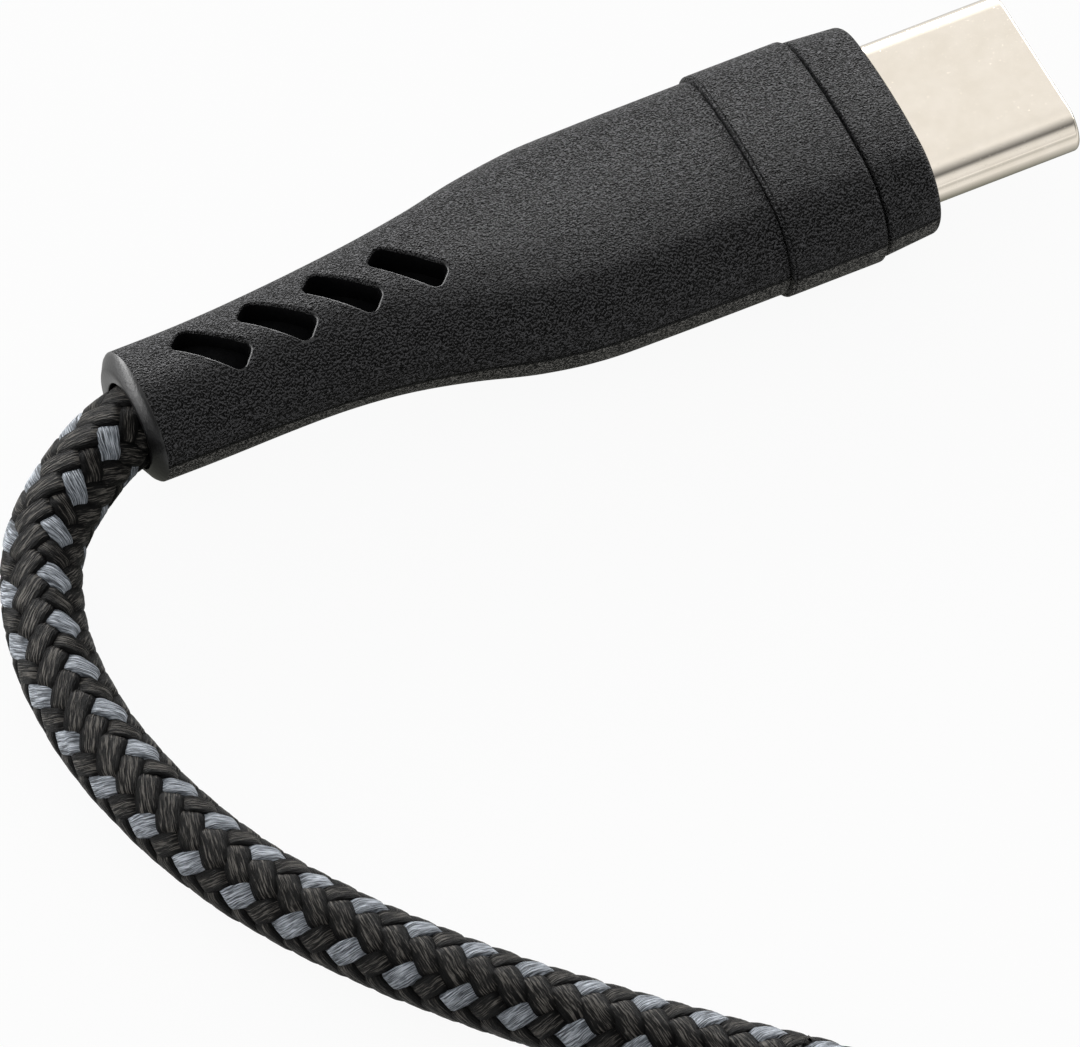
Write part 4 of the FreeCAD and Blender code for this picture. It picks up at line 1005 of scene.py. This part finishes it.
# Spacing of the samples along the cord's line.
STEP = 0.2
cord = add_route("cord_core", route_points())
bpy.context.view_layer.update()
line_mesh = bpy.data.meshes.new_from_object(cord)
line = np.array([v.co[:] for v in line_mesh.vertices]) / MM
run = np.concatenate(([0.0], np.cumsum(np.linalg.norm(np.diff(line, axis=0), axis=1))))
marks = np.linspace(0, run[-1], int(run[-1] / STEP))
centre = np.column_stack([np.interp(marks, run, line[:, i]) for i in range(3)])
kernel = np.ones(5) / 5
for _ in range(2):
    padded = np.pad(centre, ((2, 2), (0, 0)), "edge")
    smoothed = np.column_stack([np.convolve(padded[:, i], kernel, "valid") for i in range(3)])
    centre[3:-3] = smoothed[3:-3]


def carried_frames(points):
    """Normals carried along the line without twist, and the directions square to them."""
    tangent = np.gradient(points, axis=0)
    tangent /= np.linalg.norm(tangent, axis=1)[:, None]
    normal = np.zeros_like(points)
    current = np.array((0.0, 0.0, 1.0))
    for i, way in enumerate(tangent):
        current = current - way * np.dot(current, way)
        current /= np.linalg.norm(current)
        normal[i] = current
    return normal, np.cross(tangent, normal)


normals, binormals = carried_frames(centre)

BRAID_PITCH = 9.89
BRAID_START = 0.16
CARRIERS = 8
TOP_RADIUS = 1.605
WAVE = 0.10
# For each set of strands: width, drop of its edges, how late the drop starts (a power), and how
# much shorter its visible floats are.
STRANDS = {1: (1.30, 0.20, 4.0, 0.04), -1: (1.02, 0.24, 10.0, 0.38)}
# The grey strands take the black yarn for their first FIRST_GREY mm, as painted shade in the boot's
# recess.
FIRST_GREY = 2.2
START_TURN = math.radians(6.7)
TWIST = math.radians(-0.24)
FLOAT_SLOPE = 2.2
# Unevenness: its spacing along the cord, and its size in radius, in turn and as a share of width.
UNEVEN_SPACING = 1.3
UNEVEN_RADIUS = 0.014
UNEVEN_TURN = math.radians(1.3)
UNEVEN_WIDTH = 0.06
SEED = 11
# How far apart the maps of neighbouring strands start, so that their filaments differ.
MAP_STEP = 4


def at(array, place):
    return np.stack([np.interp(place, marks, array[:, i]) for i in range(3)], axis=-1)


def uneven(s, seed):
    """A slow random unevenness along the whole cord, about one in size."""
    knots = np.arange(0.0, marks[-1] + 2 * UNEVEN_SPACING, UNEVEN_SPACING)
    values = np.random.default_rng(seed).normal(0, 1, len(knots)).clip(-2, 2)
    return np.interp(s, knots, values)


def braid(name, start, stop, per_crossing, across):
    """Two sets of eight strands over two and under two, between two places on the cord."""
    crossings = 2 * CARRIERS / BRAID_PITCH
    count = max(8, int((stop - start) * crossings * per_crossing))
    s = np.linspace(start, stop, count)
    u = np.linspace(-1, 1, across)
    u = np.sign(u) * np.sqrt(np.abs(u))
    slope = 2 * math.pi * TOP_RADIUS / BRAID_PITCH
    lean = math.atan(slope)
    points, uvs, faces, tones = [], [], [], []
    offset = 0
    for family, (width, drop, late, shorter) in STRANDS.items():
        for k in range(CARRIERS):
            loose = [uneven(s, (SEED, family + 1, k, i)) for i in range(3)]
            m = (s - BRAID_START) * crossings
            phase = m + 2 * k - 0.5 if family > 0 else 2 * k - m - 2.5
            float_place = FLOAT_SLOPE * (np.cos(math.pi / 2 * phase) - shorter)
            wave = np.sin(math.pi / 2 * np.clip(float_place, -1, 1))
            radius = TOP_RADIUS + WAVE * wave + UNEVEN_RADIUS * loose[0]
            angle = START_TURN + TWIST * s + math.pi * (family * m / CARRIERS + 2 * k / CARRIERS)
            angle = angle + UNEVEN_TURN * loose[1]
            side = width / 2 * (1 + UNEVEN_WIDTH * loose[2])[:, None] * u[None, :]
            side_s = s[:, None] - family * math.sin(lean) * side
            side_a = angle[:, None] + math.cos(lean) * side / TOP_RADIUS
            side_r = radius[:, None] - drop * np.abs(u[None, :]) ** late
            side_s = np.clip(side_s, start, stop)
            place = at(centre, side_s)
            across_n = at(normals, side_s)
            across_b = at(binormals, side_s)
            points.append(
                (
                    place
                    + across_n * (side_r * np.cos(side_a))[..., None]
                    + across_b * (side_r * np.sin(side_a))[..., None]
                ).reshape(-1, 3)
            )
            along = s / math.cos(lean)
            uv = np.stack(
                (
                    np.broadcast_to(
                        0.01 + 0.98 * (u[None, :] + 1) / 2 + k * MAP_STEP, side_s.shape
                    ),
                    np.broadcast_to(along[:, None], side_s.shape),
                ),
                axis=-1,
            ).reshape(-1, 2)
            uvs.append(uv)
            row = np.arange(count - 1)[:, None] * across + np.arange(across - 1)[None, :]
            row = row.reshape(-1) + offset
            quad = np.stack((row, row + 1, row + across + 1, row + across), axis=1)
            if family < 0:
                quad = quad[:, ::-1]
            faces.append(quad)
            # Before FIRST_GREY the grey strands are black: painted shade in the recess.
            grey = family < 0 and k % 2 == 0
            tones.append(np.repeat((s[:-1] > FIRST_GREY) & grey, across - 1))
            offset += count * across
    points = np.vstack(points) * MM
    faces = np.vstack(faces)
    uvs = np.vstack(uvs)
    mesh = bpy.data.meshes.new(name)
    mesh.vertices.add(len(points))
    mesh.vertices.foreach_set("co", points.reshape(-1))
    mesh.loops.add(faces.size)
    mesh.loops.foreach_set("vertex_index", faces.reshape(-1).astype(np.int32))
    mesh.polygons.add(len(faces))
    mesh.polygons.foreach_set("loop_start", np.arange(0, faces.size, 4, dtype=np.int32))
    mesh.polygons.foreach_set("use_smooth", np.ones(len(faces), dtype=bool))
    layer = mesh.uv_layers.new(name="strand")
    layer.data.foreach_set("uv", uvs[faces.reshape(-1)].reshape(-1))
    mesh.materials.append(materials["black_yarn"])
    mesh.materials.append(materials["grey_yarn"])
    mesh.polygons.foreach_set("material_index", np.concatenate(tones).astype(np.int32))
    mesh.update(calc_edges=True)
    mesh.validate()
    piece = bpy.data.objects.new(name, mesh)
    bpy.context.scene.collection.objects.link(piece)
    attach(piece, "root")
    return piece


cord.data.bevel_depth = CORE_RADIUS * MM
cord.data.bevel_resolution = 3
cord.data.resolution_u = 6
cord.data.materials.append(materials["cord_inside"])
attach(cord, "root")
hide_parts("cord_lead", "cord_coil", "cord_tail")

coil_begin = marks[np.argmin(np.linalg.norm(centre - np.array(coil_point(0.0)), axis=1))]
coil_end = marks[np.argmin(np.linalg.norm(centre - np.array(coil_point(TURNS)), axis=1))]
# Pieces of the braid: from and to along the cord, rows of points per crossing, points across.
LEAD_PART = 52.0
strands = [
    braid("braid_lead", 0.0, LEAD_PART, 8.0, 9),
    braid("braid_run", LEAD_PART, coil_begin, 8.0, 9),
    braid("braid_coil", coil_begin, coil_end, 2.0, 3),
    braid("braid_tail", coil_end, marks[-1], 8.0, 9),
]


# Tie round the coil


def strap_outline(wide, tall, corner):
    """Closed rounded rectangle with outward normals."""
    places = []
    for quarter, (u, v) in enumerate(((1, 1), (-1, 1), (-1, -1), (1, -1))):
        for i in range(11):
            angle = math.radians(90 * quarter + 90 * i / 10)
            c, s = math.cos(angle), math.sin(angle)
            x, y = u * (wide / 2 - corner) + corner * c, v * (tall / 2 - corner) + corner * s
            places.append((x, y, c, s))
    return places


def make_tie():
    spread = PITCH * 2 + CORD
    sag = TIE_WIDTH**2 / (COIL_RADIUS * 4)
    wide = spread + sag + TIE_SLACK * 3 + TIE_THICKNESS * 2
    tall = CORD * 2 + TURN_GAP + TIE_SLACK * 2 + TIE_THICKNESS * 2
    outline = strap_outline(wide, tall, CORD / 2)
    profile = []
    half, edge = TIE_WIDTH / 2, TIE_THICKNESS / 2
    for i in range(9):
        angle = math.pi / 2 - math.pi * i / 8
        profile.append((half - edge + edge * math.cos(angle), edge * math.sin(angle)))
    for i in range(9):
        angle = -math.pi / 2 - math.pi * i / 8
        profile.append((edge - half + edge * math.cos(angle), edge * math.sin(angle)))
    columns = len(profile)
    points = []
    for u, v, nu, nv in outline:
        for side, depth in profile:
            points.append((u + nu * (depth - edge), side, v + nv * (depth - edge)))
    faces = ring_quads(len(outline), columns, closed=True)
    base = len(points)
    for i in range(TAB_STEPS + 1):
        height = TAB_LENGTH * (0.5 - i / TAB_STEPS)
        drop = 0.0 if 0 < i < TAB_STEPS else TAB_END_DROP
        for side, depth in profile:
            points.append((wide / 2 + edge - drop + depth, side * TAB_NARROWER, height))
    tab = (TAB_STEPS + 1, columns, base)
    faces += ring_quads(*tab) + ring_caps(*tab)
    mesh = outward_mesh("cord_tie_strap", points, faces)
    outer_edge = COIL_RADIUS - PITCH / 2 + CORD / 2
    out = outer_edge + TIE_SLACK + TIE_THICKNESS - wide / 2
    angle = COIL_HEADING + math.pi / 2 - math.pi
    place = Matrix.Translation(
        (COIL_MIDDLE[0] + out * math.cos(angle), COIL_MIDDLE[1] + out * math.sin(angle), tall / 2)
    ) @ Matrix.Rotation(angle, 4, "Z")
    return add_piece("tie_strap", mesh, place, materials["strap"], "cord_tie", 60.0)


tie = make_tie()

with_cord = strands + [tie] + far_pieces
for part in NODE_MATERIALS:
    if part not in ("plug_shell", "nose_cap", "middle_band", "grip_boot"):
        with_cord.append(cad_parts["far_" + part])


# Studio

WHITE = (0.55, 0.55, 0.55)
SKY_STRENGTH = 0.96
SKY_PEAK = 9.5
# Brightness of the surroundings from the front horizon over the top to the rear horizon.
SKY = [
    (0.00, 0.82),
    (0.08, 0.95),
    (0.14, 0.84),
    (0.172, 0.66),
    (0.195, 0.42),
    (0.235, 0.17),
    (0.283, 0.33),
    (0.322, 0.50),
    (0.367, 0.70),
    (0.41, 0.90),
    (0.46, 1.02),
    (0.60, 0.95),
    (0.74, 1.00),
    (0.84, 1.80),
    (0.90, SKY_PEAK),
    (1.00, SKY_PEAK),
]
# The patch of painted shade on the floor that only mirrors see: its scale along the plug, in front
# and behind (per metre), and the depth of the painted shade by distance in that scale.
SHADE_ALONG, SHADE_AHEAD, SHADE_BEHIND = 2.6, -15.0, 45.0
SHADE_MIDDLE = -0.002
FLOOR_SHADE = [
    (0.0, 0.9),
    (0.076, 0.9),
    (0.105, 0.5),
    (0.136, 0.08),
    (0.18, 0.12),
    (0.27, 0.42),
    (0.45, 0.35),
    (0.9, 0.0),
]
# Share of the floor's own light to the camera and to mirrors; the rest keeps the shadow.
FLOOR_GLOW = 0.94
FLOOR_REACH = 3.0


def floor_material():
    """Pale floor: to the camera mostly its own light, with the shadow left in; to mirrors, painted
    shade near the plug.
    """
    material = bpy.data.materials.new("studio_floor")
    material.use_nodes = True
    tree = material.node_tree
    tree.nodes.clear()
    rays = node(tree, "ShaderNodeLightPath").outputs
    mirrored = math_node(tree, "ADD", rays["Is Glossy Ray"], rays["Is Transmission Ray"])
    parts = node(tree, "ShaderNodeSeparateXYZ", {"Vector": object_place(tree)}).outputs
    off_middle = math_node(tree, "SUBTRACT", parts["X"], SHADE_MIDDLE)
    along = math_node(tree, "MULTIPLY", off_middle, SHADE_ALONG)
    ahead = math_node(tree, "MULTIPLY", parts["Y"], SHADE_AHEAD)
    behind = math_node(tree, "MULTIPLY", parts["Y"], SHADE_BEHIND)
    beside = math_node(tree, "MAXIMUM", ahead, behind)
    flattened = node(tree, "ShaderNodeCombineXYZ", {"X": along, "Y": beside}).outputs["Vector"]
    away = node(tree, "ShaderNodeVectorMath", {0: flattened}, operation="LENGTH").outputs["Value"]
    shade = ramp(tree, away, [(place, (level,) * 3) for place, level in FLOOR_SHADE])
    shade = math_node(tree, "MULTIPLY", shade, mirrored)
    # Painted shade: near the plug the floor's paint and own light are darkened for mirrored rays
    # only.
    paint = mix_colours(tree, shade, (*WHITE, 1.0), (0.10, 0.098, 0.085, 1.0))
    light = mix_colours(tree, shade, (1.0, 1.0, 1.0, 1.0), (0.13, 0.134, 0.105, 1.0))
    diffuse = node(tree, "ShaderNodeBsdfDiffuse", {"Color": paint})
    glow = node(tree, "ShaderNodeEmission", {"Color": light, "Strength": 1.0})
    seen = math_node(tree, "ADD", mirrored, rays["Is Camera Ray"], clamp=True)
    share = math_node(tree, "MULTIPLY", seen, FLOOR_GLOW)
    mixed = node(tree, "ShaderNodeMixShader", {"Fac": share})
    tree.links.new(diffuse.outputs[0], mixed.inputs[1])
    tree.links.new(glow.outputs[0], mixed.inputs[2])
    out = node(tree, "ShaderNodeOutputMaterial")
    tree.links.new(mixed.outputs[0], out.inputs["Surface"])
    return material


def add_floor():
    mesh = bpy.data.meshes.new("floor")
    r = FLOOR_REACH
    mesh.from_pydata([(-r, -r, 0), (r, -r, 0), (r, r, 0), (-r, r, 0)], [], [(0, 1, 2, 3)])
    mesh.materials.append(floor_material())
    floor = bpy.data.objects.new("floor", mesh)
    bpy.context.scene.collection.objects.link(floor)


def studio_world():
    """Soft light above, a bright rear horizon, darker above the camera, and a pale front wall."""
    world = bpy.data.worlds.new("studio")
    world.use_nodes = True
    tree = world.node_tree
    tree.nodes.clear()
    way = node(tree, "ShaderNodeTexCoord").outputs["Generated"]
    parts = node(tree, "ShaderNodeSeparateXYZ", {"Vector": way}).outputs
    front = math_node(tree, "MULTIPLY", parts["Y"], -1.0)
    climb = math_node(tree, "ARCTAN2", parts["Z"], front)
    share = math_node(tree, "DIVIDE", climb, math.pi, clamp=True)
    colour = ramp(tree, share, [(place, (level / SKY_PEAK,) * 3) for place, level in SKY])
    none, all_of_it = (0, 0, 0), (1, 1, 1)
    beyond = ramp(tree, parts["X"], [(0.52, none), (0.8, all_of_it)])
    low = ramp(tree, share, [(0.17, (0.75, 0.75, 0.75)), (0.2, none)])
    right_loss = math_node(tree, "MULTIPLY", beyond, low)
    leftward = math_node(tree, "MULTIPLY", parts["X"], -1.0)
    left = ramp(tree, leftward, [(0.60, none), (0.85, (0.8, 0.8, 0.8))])
    off_horizon = ramp(tree, share, [(0.80, all_of_it), (0.86, none)])
    left_loss = math_node(tree, "MULTIPLY", left, off_horizon)
    loss = math_node(tree, "MAXIMUM", right_loss, left_loss)
    kept = math_node(tree, "SUBTRACT", 1.0, loss)
    level = math_node(tree, "MULTIPLY", kept, SKY_STRENGTH * SKY_PEAK)
    lights = node(tree, "ShaderNodeBackground", {"Color": colour, "Strength": level})
    white = node(tree, "ShaderNodeBackground", {"Color": (1.0, 1.0, 1.0, 1.0), "Strength": 1.0})
    rays = node(tree, "ShaderNodeLightPath").outputs
    mixed = node(tree, "ShaderNodeMixShader", {"Fac": rays["Is Camera Ray"]})
    tree.links.new(lights.outputs[0], mixed.inputs[1])
    tree.links.new(white.outputs[0], mixed.inputs[2])
    out = node(tree, "ShaderNodeOutputWorld")
    tree.links.new(mixed.outputs[0], out.inputs["Surface"])
    bpy.context.scene.world = world


add_floor()
studio_world()
bpy.context.scene.view_settings.view_transform = "Standard"
